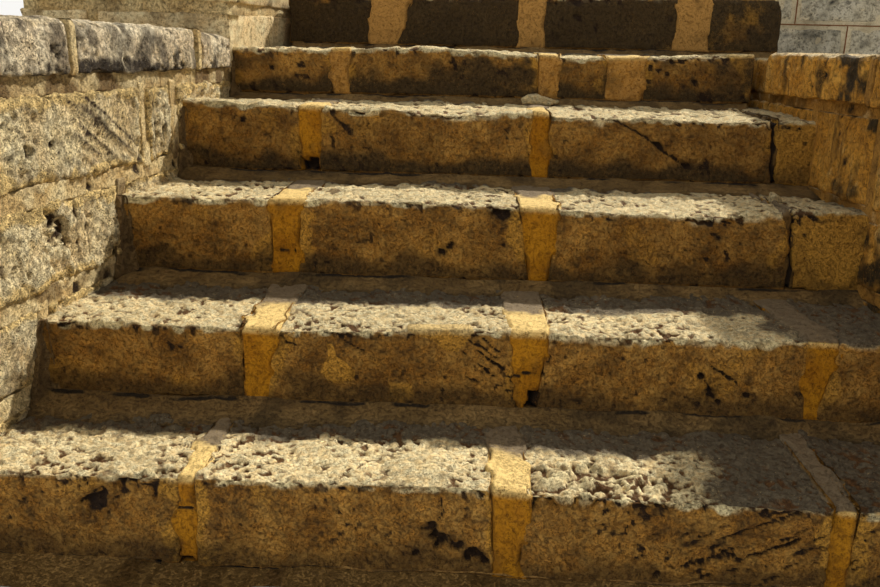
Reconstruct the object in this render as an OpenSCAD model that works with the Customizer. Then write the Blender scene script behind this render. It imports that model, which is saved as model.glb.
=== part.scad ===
// Outdoor flight of six stone steps between two coped flank walls.
// Written with the first riser in the plane y = 0, the middle of the flight at x = 0 and the ground at z = 0.

/* [Flight] */
// Clear width between the flank walls at the first riser
flight_w = 1706; // [1680:1:1900]
// Height of riser 1, from the ground
riser_1 = 161; // [140:1:200]
// Height of riser 2
riser_2 = 167; // [140:1:200]
// Height of riser 3
riser_3 = 185; // [150:1:200]
// Height of riser 4
riser_4 = 179; // [150:1:200]
// Height of riser 5
riser_5 = 141; // [130:1:180]
// Height of riser 6
riser_6 = 157; // [140:1:200]
// Going of tread 1
going_1 = 292; // [260:1:400]
// Going of tread 2
going_2 = 328; // [260:1:400]
// Going of tread 3
going_3 = 327; // [260:1:400]
// Going of tread 4
going_4 = 343; // [320:1:400]
// Going of tread 5
going_5 = 327; // [280:1:400]
// Depth of the top tread, up to where the stones run under the terrace edge
going_6 = 327; // [260:1:500]

/* [Step stones] */
// Usual width of a mortar joint between two stones of a step
step_joint_w = 40; // [24:1:50]
// Length of each stone that lies under the next step
bearing = 60; // [40:1:100]
// Mortar bed under each step
bed_t = 12; // [8:1:20]
// Radius of the trodden nosing
nosing_r = 14; // [8:1:24]
// Depth that the joint mortar is weathered back from the stone
joint_recess = 3; // [1:1:8]
// Reach of the mortar fillet over the tread at the foot of each riser
fillet_d = 55; // [30:1:80]
// Height of that fillet on the riser
fillet_h = 20; // [10:1:40]
// Mortar that closes step 5 against the right wall
end_mortar_w = 57; // [20:1:90]

/* [Flank walls] */
// Thickness of the flank walls
wall_t = 360; // [250:1:420]
// Distance that the flank walls start in front of the first riser
wall_lead = 100; // [40:5:300]
// Angle in plan by which the left wall closes in, in degrees
left_splay = 6.3; // [3:0.1:8]
// Angle in plan by which the right wall closes in, in degrees
right_splay = 2.35; // [1:0.05:5]
// Height of the left coping over tread 5
left_coping_rise = 44; // [10:1:120]
// Thickness of the left coping
left_coping_t = 112; // [80:1:140]
// Height of the right coping over tread 5
right_coping_rise = 14; // [2:1:60]
// Thickness of the right coping
right_coping_t = 112; // [80:1:130]
// Distance that the left coping stands over the wall face
left_overhang = 8; // [2:1:30]
// Distance that the right coping stands over the wall face
right_overhang = 22; // [2:1:40]
// Distance that the right coping stops short of riser 5
right_coping_stop = 33; // [10:1:80]
// Mortar beds between the courses of the left wall
left_bed_t = 26; // [15:1:32]
// Mortar beds between the courses of the right wall
right_bed_t = 18; // [12:1:28]
// Head joints between the stones of a course
head_joint_w = 22; // [12:1:32]
// Depth that the wall mortar is weathered back from the wall face
wall_recess = 7; // [2:1:15]

/* [Terrace walls] */
// Half of the width over both terrace walls
outer_half = 1320; // [1290:1:1500]
// Courses in the terrace walls
terrace_rows = 6; // [6:1:8]
// Thickness of the terrace coping
terrace_coping_t = 100; // [60:1:120]
// Distance that the terrace coping stands over the wall face
terrace_overhang = 15; // [5:1:30]
// Distance from riser 5 back to the front of the left terrace wall
terrace_left_lead = 14; // [5:1:60]
// Distance by which the left terrace wall closes in on the top step
terrace_left_step = 113; // [80:1:150]
// Distance by which the top step runs on past the right wall face
terrace_right_step = 121; // [90:1:160]
// Course height of the terrace walls, bed included
terrace_course = 189; // [180:1:200]
// Mortar joints of the terrace walls
terrace_joint = 20; // [10:1:26]
// Cross joint in the odd courses of the left terrace wall, from its outer face
left_odd_joint = 210; // [120:1:400]
// Cross joint in the even courses of the left terrace wall
left_even_joint = 330; // [120:1:400]
// Cross joint in the odd courses of the right terrace wall, from the top step
right_odd_joint = 224; // [60:1:300]
// Cross joint in the even courses of the right terrace wall
right_even_joint = 61; // [40:1:300]
// Joint across the depth of the terrace walls, from riser 6
depth_joint = 230; // [100:1:300]
// Thickness of the wall leaf that closes the back
back_wall_t = 120; // [90:1:200]

/* [Hidden] */
$fn = 48;
RISERS = [riser_1, riser_2, riser_3, riser_4, riser_5, riser_6];
GOINGS = [going_1, going_2, going_3, going_4, going_5, going_6];
STEPS = len(RISERS);
function sum_to(list, count) = count == 0 ? 0 : list[count - 1] + sum_to(list, count - 1);
// Height of tread n, with tread 0 for the ground
function tread_z(n) = sum_to(RISERS, n);
// Face of riser n, with riser 7 for the end of the top tread
function riser_y(n) = sum_to(GOINGS, n - 1);

front_y = -wall_lead;
core_back_y = riser_y(STEPS + 1) + bearing;
back_y = core_back_y + back_wall_t;
middle_y = (front_y + back_y) / 2;
top_riser_y = riser_y(STEPS);
terrace_left_y = riser_y(5) - terrace_left_lead;
// Reach that is longer than any piece, for cutting
far = 2 * outer_half + back_y;

function left_x(y) = -flight_w / 2 + y * tan(left_splay);
function right_x(y) = flight_w / 2 - y * tan(right_splay);
terrace_left_x = left_x(terrace_left_y) + terrace_left_step;
terrace_right_x = right_x(top_riser_y) + terrace_right_step;

// Joints of each step: middle as a share of the flight's width, and width as a share of the usual
// joint, first at the nosing and then at the foot
JOINTS = [
    [[-0.268, 0.68, -0.268, 0.88], [0.036, 1.32, 0.038, 1.0], [0.346, 0.8, 0.346, 0.8]],
    [[-0.239, 1.48, -0.243, 0.98], [0.06, 1.8, 0.059, 0.85], [0.375, 1.45, 0.37, 0.52]],
    [[-0.247, 1.6, -0.249, 1.4], [0.077, 2.0, 0.081, 0.98], [0.393, 0.3, 0.401, 0.3]],
    [[-0.251, 1.32, -0.25, 1.02], [0.088, 0.98, 0.091, 0.88], [0.422, 0.3, 0.429, 0.3]],
    [[-0.237, 1.08, -0.237, 1.08], [0.11, 1.32, 0.11, 1.32], [0.237, 2.58, 0.237, 2.58]],
    [[-0.171, 2.95, -0.185, 2.3], [0.089, 1.98, 0.089, 1.98], [0.384, 2.45, 0.384, 2.45]]
];
STONE_NAMES = ["left", "middle", "right", "end"];

left_wall_h = tread_z(5) + left_coping_rise;
right_wall_h = tread_z(5) + right_coping_rise;
left_wall_top = left_wall_h - left_coping_t - left_bed_t;
right_wall_top = right_wall_h - right_coping_t - right_bed_t;
right_coping_end = riser_y(5) - right_coping_stop;
terrace_wall_h = terrace_rows * terrace_course;
terrace_h = terrace_wall_h + terrace_coping_t;

// Courses of the flank walls: underside of each, as a share of the height below the coping's bed,
// then its head joints, as shares of the wall's length
LEFT_COURSES = [
    [0, [0.385, 0.785]],
    [0.237, [0.298, 0.698]],
    [0.467, [0.174, 0.531]],
    [0.727, [0.211, 0.622, 0.734]]
];
RIGHT_COURSES = [
    [0, [0.233, 0.536]],
    [0.23, [0.349, 0.67]],
    [0.474, [0.146, 0.501]],
    [0.704, [0.093, 0.427, 0.618]]
];
LEFT_COPING_JOINTS = [0.058, 0.416, 0.838];
RIGHT_COPING_JOINTS = [0.206, 0.56];

// Sets a piece on the middle of its own footprint
module in_frame() {
    translate([0, -middle_y, 0]) children();
}

// A solid with its outline in the YZ plane, running along X
module along_x(from, to) {
    translate([from, 0, 0]) rotate([90, 0, 90]) linear_extrude(to - from) children();
}

// A solid with its outline in the XZ plane, running along Y
module along_y(from, to) {
    translate([0, to, 0]) rotate([90, 0, 0]) linear_extrude(to - from) children();
}

// Ground plan of everything between the walls
module flight_plan() {
    polygon([
        [left_x(0), 0],
        [left_x(terrace_left_y), terrace_left_y],
        [terrace_left_x, top_riser_y],
        [terrace_left_x, core_back_y],
        [terrace_right_x, core_back_y],
        [terrace_right_x, top_riser_y],
        [right_x(top_riser_y), top_riser_y],
        [right_x(0), 0]
    ]);
}

// Side outline of a step stone, with its worn nosing
module step_outline(n, inset) {
    y = riser_y(n) + inset;
    z = tread_z(n) - inset;
    foot = n == 1 ? 0 : tread_z(n - 1) + bed_t;
    back = riser_y(n + 1) + bearing;
    difference() {
        translate([y, foot]) square([back - y, z - foot]);
        translate([y, z - nosing_r]) difference() {
            square(nosing_r);
            translate([nosing_r, 0]) circle(nosing_r);
        }
    }
}

// Front outline between two joint edges, each given as its place at the nosing and at the foot
module front_outline(n, left_edge, right_edge) {
    foot = n == 1 ? 0 : tread_z(n - 1) + bed_t;
    top = tread_z(n);
    polygon([
        [left_edge[1], foot],
        [right_edge[1], foot],
        [right_edge[0], top],
        [left_edge[0], top]
    ]);
}

function joint_edge(place, width, side) = place * flight_w + side * width * step_joint_w / 2;
function edge(n, joint, side) = [
    joint_edge(JOINTS[n - 1][joint][0], JOINTS[n - 1][joint][1], side),
    joint_edge(JOINTS[n - 1][joint][2], JOINTS[n - 1][joint][3], side)
];
function end_edge(n) = n == 5
    ? [right_x(riser_y(5)) - end_mortar_w, right_x(riser_y(5)) - end_mortar_w]
    : [outer_half, outer_half];

// Stone of step n, counted from the left
module step_stone(n, place) {
    left_edge = place == 0 ? [-outer_half, -outer_half] : edge(n, place - 1, 1);
    right_edge = place == 3 ? end_edge(n) : edge(n, place, -1);
    in_frame() intersection() {
        along_x(-outer_half, outer_half) step_outline(n, 0);
        along_y(0, back_y) front_outline(n, left_edge, right_edge);
        linear_extrude(terrace_h) flight_plan();
    }
}

// Joints of step n, standing on its bed
module step_mortar(n) {
    foot = tread_z(n - 1);
    back = riser_y(n + 1) + bearing;
    color([0.78, 0.6, 0.3]) in_frame() intersection() {
        union() {
            if (n > 1) {
                translate([-outer_half, riser_y(n) + joint_recess, foot])
                    cube([2 * outer_half, back - riser_y(n) - joint_recess, bed_t]);
            }
            intersection() {
                along_x(-outer_half, outer_half) step_outline(n, joint_recess);
                along_y(0, back_y) for (joint = [0 : 2]) {
                    front_outline(n, edge(n, joint, -1), edge(n, joint, 1));
                }
            }
            if (n == 5) intersection() {
                along_x(-outer_half, outer_half) step_outline(n, joint_recess);
                along_y(0, back_y) front_outline(n, end_edge(n), [outer_half, outer_half]);
            }
        }
        linear_extrude(terrace_h) flight_plan();
    }
}

module foot_fillets() {
    color([0.66, 0.5, 0.28]) in_frame() intersection() {
        for (n = [1 : STEPS]) {
            along_x(-outer_half, outer_half) polygon([
                [riser_y(n) - fillet_d, tread_z(n - 1)],
                [riser_y(n), tread_z(n - 1)],
                [riser_y(n), tread_z(n - 1) + fillet_h]
            ]);
        }
        linear_extrude(terrace_h) union() {
            flight_plan();
            polygon([
                [left_x(front_y), front_y],
                [left_x(0), 0],
                [right_x(0), 0],
                [right_x(front_y), front_y]
            ]);
        }
    }
}

// Rubble and mortar that carries the steps, rising in steps behind them
module core() {
    color([0.6, 0.52, 0.38]) in_frame() intersection() {
        for (n = [1 : STEPS - 1]) {
            start = riser_y(n + 1) + bearing;
            translate([-outer_half, start, 0]) cube([2 * outer_half, core_back_y - start, tread_z(n)]);
        }
        linear_extrude(terrace_h) flight_plan();
    }
}

// Blocks of one course of a flank wall, cut by its head joints
module course_blocks(bottom, top, joints, from, to) {
    gap = head_joint_w;
    middles = [for (share = joints) from + share * (to - from)];
    edges = concat([from - gap / 2], middles, [to + gap / 2]);
    for (k = [0 : len(joints)]) {
        start = edges[k] + gap / 2;
        end = edges[k + 1] - gap / 2;
        translate([-far, start, bottom]) cube([2 * far, end - start, top - bottom]);
    }
}

// Blocks of a flank wall from one course to another, the topmost one carrying the coping
module flank_blocks(courses, first, last, wall_top, bed, end_y) {
    for (k = [first : last]) {
        top = k == len(courses) - 1 ? wall_top : courses[k + 1][0] * wall_top;
        bottom = courses[k][0] * wall_top + (k == 0 ? 0 : bed);
        course_blocks(bottom, top, courses[k][1], front_y, end_y);
    }
}

module left_plan(overhang, end_y) {
    polygon([
        [left_x(front_y) + overhang, front_y],
        [left_x(end_y) + overhang, end_y],
        [left_x(end_y) - wall_t, end_y],
        [left_x(front_y) - wall_t, front_y]
    ]);
}

module right_plan(overhang, end_y) {
    polygon([
        [right_x(front_y) - overhang, front_y],
        [right_x(end_y) - overhang, end_y],
        [right_x(end_y) + wall_t, end_y],
        [right_x(front_y) + wall_t, front_y]
    ]);
}

module left_wall_stones(first, last) {
    color([0.8, 0.74, 0.56]) in_frame() intersection() {
        linear_extrude(left_wall_h) left_plan(0, terrace_left_y);
        flank_blocks(LEFT_COURSES, first, last, left_wall_top, left_bed_t, terrace_left_y);
    }
}

module left_coping_blocks() {
    course_blocks(left_wall_h - left_coping_t, left_wall_h, LEFT_COPING_JOINTS,
        front_y, terrace_left_y);
}

module left_wall_mortar() {
    color([0.78, 0.66, 0.4]) in_frame() difference() {
        intersection() {
            linear_extrude(left_wall_h - wall_recess) left_plan(-wall_recess, terrace_left_y);
            translate([wall_recess, wall_recess, 0])
                linear_extrude(left_wall_h) left_plan(0, terrace_left_y);
        }
        flank_blocks(LEFT_COURSES, 0, len(LEFT_COURSES) - 1, left_wall_top, left_bed_t, terrace_left_y);
        left_coping_blocks();
    }
}

module left_coping() {
    color([0.72, 0.7, 0.64]) in_frame() intersection() {
        linear_extrude(left_wall_h) left_plan(left_overhang, terrace_left_y);
        left_coping_blocks();
    }
}

module right_wall_stones(first, last) {
    color([0.76, 0.6, 0.36]) in_frame() intersection() {
        linear_extrude(right_wall_h) right_plan(0, top_riser_y);
        flank_blocks(RIGHT_COURSES, first, last, right_wall_top, right_bed_t, top_riser_y);
    }
}

module right_coping_blocks() {
    course_blocks(right_wall_h - right_coping_t, right_wall_h, RIGHT_COPING_JOINTS,
        front_y, right_coping_end);
}

// Flush stone that carries the coping on beside tread 5
module right_end_block() {
    course_blocks(right_wall_h - right_coping_t, tread_z(5), [],
        right_coping_end + head_joint_w, top_riser_y);
}

module right_wall_mortar() {
    color([0.74, 0.58, 0.34]) in_frame() difference() {
        intersection() {
            linear_extrude(tread_z(5) - wall_recess) right_plan(-wall_recess, top_riser_y);
            translate([-wall_recess, wall_recess, 0])
                linear_extrude(right_wall_h) right_plan(0, top_riser_y);
        }
        flank_blocks(RIGHT_COURSES, 0, len(RIGHT_COURSES) - 1, right_wall_top, right_bed_t, top_riser_y);
        right_coping_blocks();
        right_end_block();
    }
}

// The front stones hang over the wall, and the last one lies flush beside tread 5
module right_coping() {
    color([0.74, 0.6, 0.4]) in_frame() {
        intersection() {
            linear_extrude(right_wall_h) right_plan(right_overhang, right_coping_end);
            right_coping_blocks();
        }
        intersection() {
            linear_extrude(right_wall_h) right_plan(0, top_riser_y);
            right_end_block();
        }
    }
}

module terrace_left_plan(overhang, recess) {
    polygon([
        [-outer_half + recess, terrace_left_y - overhang + recess],
        [left_x(terrace_left_y) + overhang - recess, terrace_left_y - overhang + recess],
        [terrace_left_x + overhang - recess, top_riser_y],
        [terrace_left_x + overhang - recess, back_y - recess],
        [-outer_half + recess, back_y - recess]
    ]);
}

module terrace_right_plan(overhang, recess) {
    polygon([
        [terrace_right_x - overhang + recess, top_riser_y - overhang + recess],
        [outer_half - recess, top_riser_y - overhang + recess],
        [outer_half - recess, back_y - recess],
        [terrace_right_x - overhang + recess, back_y - recess]
    ]);
}

// Rows of squared blocks, with the cross joint moved from row to row
module terrace_blocks(odd_x, even_x, joint_y) {
    gap = terrace_joint / 2;
    for (row = [0 : terrace_rows - 1]) {
        joint_x = row % 2 == 0 ? odd_x : even_x;
        for (x = [joint_x - gap - far, joint_x + gap], y = [joint_y - gap - far, joint_y + gap]) {
            translate([x, y, row * terrace_course])
                cube([far, far, terrace_course - terrace_joint]);
        }
    }
}

module terrace_left_blocks() {
    terrace_blocks(left_odd_joint - outer_half, left_even_joint - outer_half, top_riser_y + depth_joint);
}

module terrace_right_blocks() {
    terrace_blocks(terrace_right_x + right_odd_joint, terrace_right_x + right_even_joint,
        top_riser_y + depth_joint);
}

module terrace_left_stones() {
    color([0.74, 0.66, 0.48]) in_frame() intersection() {
        linear_extrude(terrace_h) terrace_left_plan(0, 0);
        terrace_left_blocks();
    }
}

module terrace_left_mortar() {
    color([0.76, 0.66, 0.44]) in_frame() difference() {
        linear_extrude(terrace_wall_h) terrace_left_plan(0, wall_recess);
        terrace_left_blocks();
    }
}

module terrace_right_stones() {
    color([0.62, 0.63, 0.6]) in_frame() intersection() {
        linear_extrude(terrace_h) terrace_right_plan(0, 0);
        terrace_right_blocks();
    }
}

module terrace_right_mortar() {
    color([0.8, 0.72, 0.52]) in_frame() difference() {
        linear_extrude(terrace_wall_h) terrace_right_plan(0, joint_recess);
        terrace_right_blocks();
    }
}

module terrace_coping() {
    color([0.7, 0.68, 0.6]) in_frame() translate([0, 0, terrace_wall_h])
        linear_extrude(terrace_coping_t) children();
}

module back_wall() {
    color([0.7, 0.62, 0.46]) in_frame() translate([terrace_left_x, core_back_y, 0])
        cube([terrace_right_x - terrace_left_x, back_wall_t, tread_z(STEPS)]);
}

for (n = [1 : STEPS]) {
    for (place = [0 : 3]) {
        union() {
            color([0.8 - 0.02 * place, 0.68 - 0.02 * place, 0.46 - 0.02 * place]) step_stone(n, place);
        }
    }
    step_mortar(n);
}
foot_fillets();
core();
left_wall_stones(0, 1);  // left_wall_lower_stones
left_wall_stones(2, 3);  // left_wall_upper_stones
left_wall_mortar();
left_coping();
right_wall_stones(0, 1);  // right_wall_lower_stones
right_wall_stones(2, 3);  // right_wall_upper_stones
right_wall_mortar();
right_coping();
terrace_left_stones();
terrace_left_mortar();
terrace_coping() terrace_left_plan(terrace_overhang, 0);  // terrace_left_coping
terrace_right_stones();
terrace_right_mortar();
terrace_coping() terrace_right_plan(terrace_overhang, 0);  // terrace_right_coping
back_wall();
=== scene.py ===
import itertools
import math
import bpy
import numpy as np
from mathutils import Matrix, Vector


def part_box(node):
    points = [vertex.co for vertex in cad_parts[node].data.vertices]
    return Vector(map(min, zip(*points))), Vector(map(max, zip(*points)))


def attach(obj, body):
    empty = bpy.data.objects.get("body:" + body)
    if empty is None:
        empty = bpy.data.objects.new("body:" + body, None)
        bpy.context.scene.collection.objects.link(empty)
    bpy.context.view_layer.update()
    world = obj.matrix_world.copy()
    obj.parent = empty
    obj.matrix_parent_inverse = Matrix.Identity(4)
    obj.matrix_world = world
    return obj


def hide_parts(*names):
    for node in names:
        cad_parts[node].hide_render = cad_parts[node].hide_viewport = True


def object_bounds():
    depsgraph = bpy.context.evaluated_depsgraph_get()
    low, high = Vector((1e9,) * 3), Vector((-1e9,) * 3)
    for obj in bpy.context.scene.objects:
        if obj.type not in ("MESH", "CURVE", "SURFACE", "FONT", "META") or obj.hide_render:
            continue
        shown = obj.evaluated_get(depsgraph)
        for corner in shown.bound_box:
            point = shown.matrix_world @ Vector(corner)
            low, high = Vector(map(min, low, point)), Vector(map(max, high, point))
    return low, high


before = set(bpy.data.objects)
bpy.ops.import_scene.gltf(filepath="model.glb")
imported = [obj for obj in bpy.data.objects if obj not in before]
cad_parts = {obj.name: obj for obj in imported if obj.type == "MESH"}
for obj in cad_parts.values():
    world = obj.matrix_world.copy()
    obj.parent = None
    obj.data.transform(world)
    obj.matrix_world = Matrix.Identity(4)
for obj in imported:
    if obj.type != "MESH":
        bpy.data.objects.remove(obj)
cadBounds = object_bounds()
print("frame loaded:", len(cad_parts), "nodes")

# camera first, from the fit of the six risers
cameraSettings = dict(
    focalLength=35.02, sensorWidth=36.0,
    fromFirstRiser=(-0.008, -1.221, 0.827),  # metres, from the middle of riser 1's foot
    yaw=2.2, pitch=-15.73, roll=1.33,  # degrees
)


def addCamera(s):
    data = bpy.data.cameras.new("stepsCamera")
    data.lens = s["focalLength"]
    data.sensor_width = s["sensorWidth"]
    camera = bpy.data.objects.new("stepsCamera", data)
    bpy.context.scene.collection.objects.link(camera)
    turn = (Matrix.Rotation(math.radians(s["yaw"]), 4, "Z")
            @ Matrix.Rotation(math.radians(90 + s["pitch"]), 4, "X")
            @ Matrix.Rotation(math.radians(s["roll"]), 4, "Z"))
    x, y, z = s["fromFirstRiser"]
    camera.matrix_world = Matrix.Translation((x, firstRiser + y, z)) @ turn
    bpy.context.scene.camera = camera


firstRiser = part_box("step_1_middle")[0].y  # what the places of camera and wall marks are measured from
addCamera(cameraSettings)


# noise that the stone's relief is made of
def hashCell(i, j, k, seed):
    h = i * 73856093 ^ j * 19349663 ^ k * 83492791 ^ (seed + 1) * 2654435761
    h = ((h ^ (h >> 13)) & 0xffffffff) * 1274126177
    return ((h ^ (h >> 16)) & 0xffff) / 65535.0


def cloud(points, size, seed=0):  # smooth noise from -1 to 1, blobs about one size across
    q = points / np.asarray(size, dtype=float)
    base = np.floor(q).astype(np.int64)
    f = q - base
    f = f * f * f * (f * (f * 6 - 15) + 10)
    total = np.zeros(len(points))
    for i, j, k in itertools.product((0, 1), repeat=3):
        weight = ((f[:, 0] if i else 1 - f[:, 0]) * (f[:, 1] if j else 1 - f[:, 1])
                  * (f[:, 2] if k else 1 - f[:, 2]))
        total += weight * hashCell(base[:, 0] + i, base[:, 1] + j, base[:, 2] + k, seed)
    return total * 2 - 1


def turned(points, seed):  # the same points in a skewed frame, so that the noise shows no grid
    turn = Matrix.Rotation(0.7 + seed, 3, Vector((0.3, 0.8, 0.52)))
    return points @ np.array(turn).T + 3.1 * seed


def rubble(points, size, seed, layers=2):  # several clouds, each half the size of the last
    total = np.zeros(len(points))
    for layer in range(layers):
        total += cloud(turned(points, seed + layer), size / 2 ** layer, seed + layer) / 2 ** layer
    return total


def crumble(points, size, seed):  # rounded lumps with sharp creases between them, about 0 on average
    return 2 * np.abs(cloud(turned(points, seed), size, seed)) - 0.66


def hollows(points, size, seed, share):  # ragged hollows in a share of the cells, 1 at the deepest
    bends = np.column_stack([cloud(points, 0.45 * size, seed + axis) for axis in (21, 22, 23)])
    q = turned(points + 0.22 * size * bends, seed) / size
    base = np.floor(q).astype(np.int64)
    deepest = np.zeros(len(points))
    for shift in itertools.product((-1, 0, 1), repeat=3):
        i, j, k = (base[:, axis] + shift[axis] for axis in range(3))
        present = hashCell(i, j, k, seed) < share
        away = [q[:, axis] - (i, j, k)[axis] - 0.2 - 0.6 * hashCell(i, j, k, seed + 11 + axis)
                for axis in range(3)]
        radius = 0.25 + 0.35 * hashCell(i, j, k, seed + 17)
        depth = 1 - (away[0] ** 2 + away[1] ** 2 + away[2] ** 2) / radius ** 2
        deepest = np.maximum(deepest, np.where(present, depth, 0))
    return deepest


def waved(values, points, layers, seed):  # clouds of each (amount, size) added to some values
    for number, (amount, size) in enumerate(layers):
        values = values + amount * cloud(points, size, seed + number)
    return values


def lumpy(points, s, lumpSeed, grainSeed):  # soft lumps and sharper grain, each (amount, size)
    (lump, lumpSize), (grain, grainSize) = s["lump"], s["grain"]
    return lump * rubble(points, lumpSize, lumpSeed) + grain * crumble(points, grainSize, grainSeed)


def smooth(value, low, high):
    t = np.clip((value - low) / (high - low), 0, 1)
    return t * t * (3 - 2 * t)


# solids of a CAD node, with the plan of each
def cadSolids(node):
    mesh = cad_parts[node].data
    points = np.zeros(len(mesh.vertices) * 3)
    mesh.vertices.foreach_get("co", points)
    points = points.reshape(-1, 3)
    welded = np.unique(np.round(points * 1e5).astype(np.int64), axis=0, return_inverse=True)[1].ravel()
    owner = list(range(welded.max() + 1))

    def top(v):
        while owner[v] != v:
            owner[v] = owner[owner[v]]
            v = owner[v]
        return v

    for polygon in mesh.polygons:
        first = welded[polygon.vertices[0]]
        for v in polygon.vertices[1:]:
            owner[top(welded[v])] = top(first)
    group = np.array([top(v) for v in welded])
    return [points[group == g] for g in np.unique(group)]


def plansOf(node):
    return [planOf(solid) for solid in cadSolids(node)]


def planOf(points):  # a solid between two level beds, with its left and right faces at front and back
    low, high = points.min(0), points.max(0)
    front = points[np.abs(points[:, 1] - low[1]) < 1e-4, 0]
    back = points[np.abs(points[:, 1] - high[1]) < 1e-4, 0]
    return {"y": (low[1], high[1]), "z": (low[2], high[2]),
            "left": (front.min(), back.min()), "right": (front.max(), back.max())}


def faceLine(plan, face):  # x on the left or right face of a plan, as a function of y
    (low, high), (a, b) = plan["y"], plan[face]
    return lambda y: a + (b - a) * (y - low) / (high - low)


def endPlane(node, sign):  # the plane x = a + b y + c z of a node's left (-1) or right (1) end
    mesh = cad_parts[node].data
    rows = []
    for polygon in mesh.polygons:
        if polygon.normal.x * sign > 0.7:
            rows += [mesh.vertices[v].co[:] for v in polygon.vertices]
    rows = np.array(rows)
    grid = np.column_stack([np.ones(len(rows)), rows[:, 1], rows[:, 2]])
    return np.linalg.lstsq(grid, rows[:, 0], rcond=None)[0]


# outlines, and the skins that are swept from them
def graded(length, first, last):  # places from 0 to length, in steps that go from first to last
    count = max(1, math.ceil(2 * length / (first + last)))
    steps = np.linspace(first, last, count)
    return np.concatenate([[0], np.cumsum(steps)]) * length / steps.sum()


def chained(*runs):  # runs of (length, first, last) one after the other
    places = np.array([0.0])
    for length, first, last in runs:
        places = np.concatenate([places, places[-1] + graded(length, first, last)[1:]])
    return places


def boxCorners(left, low, right, high):
    return [(left, low), (left, high), (right, high), (right, low)]


def roundedLoop(corners, radii, steps):
    # corners run clockwise; radii: one for all or a list; steps: a step or a list of places for each side
    corners = np.array(corners, float)
    count = len(corners)
    radii = [float(radius) for radius in np.broadcast_to(radii, count)]
    ways = np.roll(corners, -1, axis=0) - corners
    lengths = np.linalg.norm(ways, axis=1)
    ways /= lengths[:, None]
    outward = np.column_stack([-ways[:, 1], ways[:, 0]])
    flat, facing, side, reach = [], [], [], []
    for i in range(count):
        after = (i + 1) % count
        trims = []
        for corner, other in ((i, i - 1), (after, after)):
            a, b = outward[other if corner == i else i], outward[i if corner == i else after]
            trims.append(radii[corner] * np.linalg.norm(b - a) / (1 + a @ b))
        start, stop = trims[0], lengths[i] - trims[1]
        places = steps[i] if hasattr(steps[i], "__len__") else graded(lengths[i], steps[i], steps[i])
        places = np.asarray(places) * lengths[i] / places[-1]
        gap = 0.4 * max(np.diff(places).min(), 1e-4)
        inner = places[(places > start + gap) & (places < stop - gap)]
        for place in np.concatenate([[start], inner, [stop]]):
            flat.append(corners[i] + ways[i] * place)
            facing.append(outward[i])
            side.append(i)
            reach.append(min(place, lengths[i] - place))
        a, b = outward[i], outward[after]
        turn = math.acos(max(-1, min(1, a @ b)))
        centre = corners[after] - (a + b) * radii[after] / (1 + a @ b)
        parts = max(2, round(radii[after] * turn / max(np.diff(places)[-1], 1e-4)))
        for part in range(1, parts):
            angle = math.atan2(a[1], a[0]) - turn * part / parts
            normal = np.array([math.cos(angle), math.sin(angle)])
            flat.append(centre + radii[after] * normal)
            facing.append(normal)
            side.append(i + 0.5)
            reach.append(0)
    return {"flat": np.array(flat), "facing": np.array(facing), "side": np.array(side),
            "reach": np.array(reach)}


def upFrom(z0):  # place for a plan that is swept upwards
    return lambda a, b, along: np.column_stack([a, b, z0 + along])


def rightFrom(x0):  # place for a profile in y and z that is swept to the right
    return lambda a, b, along: np.column_stack([x0 + along, a, b])


def backFrom(y0, leftFace):  # place for a profile in x and z that is swept back along a wall's left face
    return lambda a, b, along: np.column_stack([a + leftFace(y0 + along), y0 + along, b])


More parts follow.
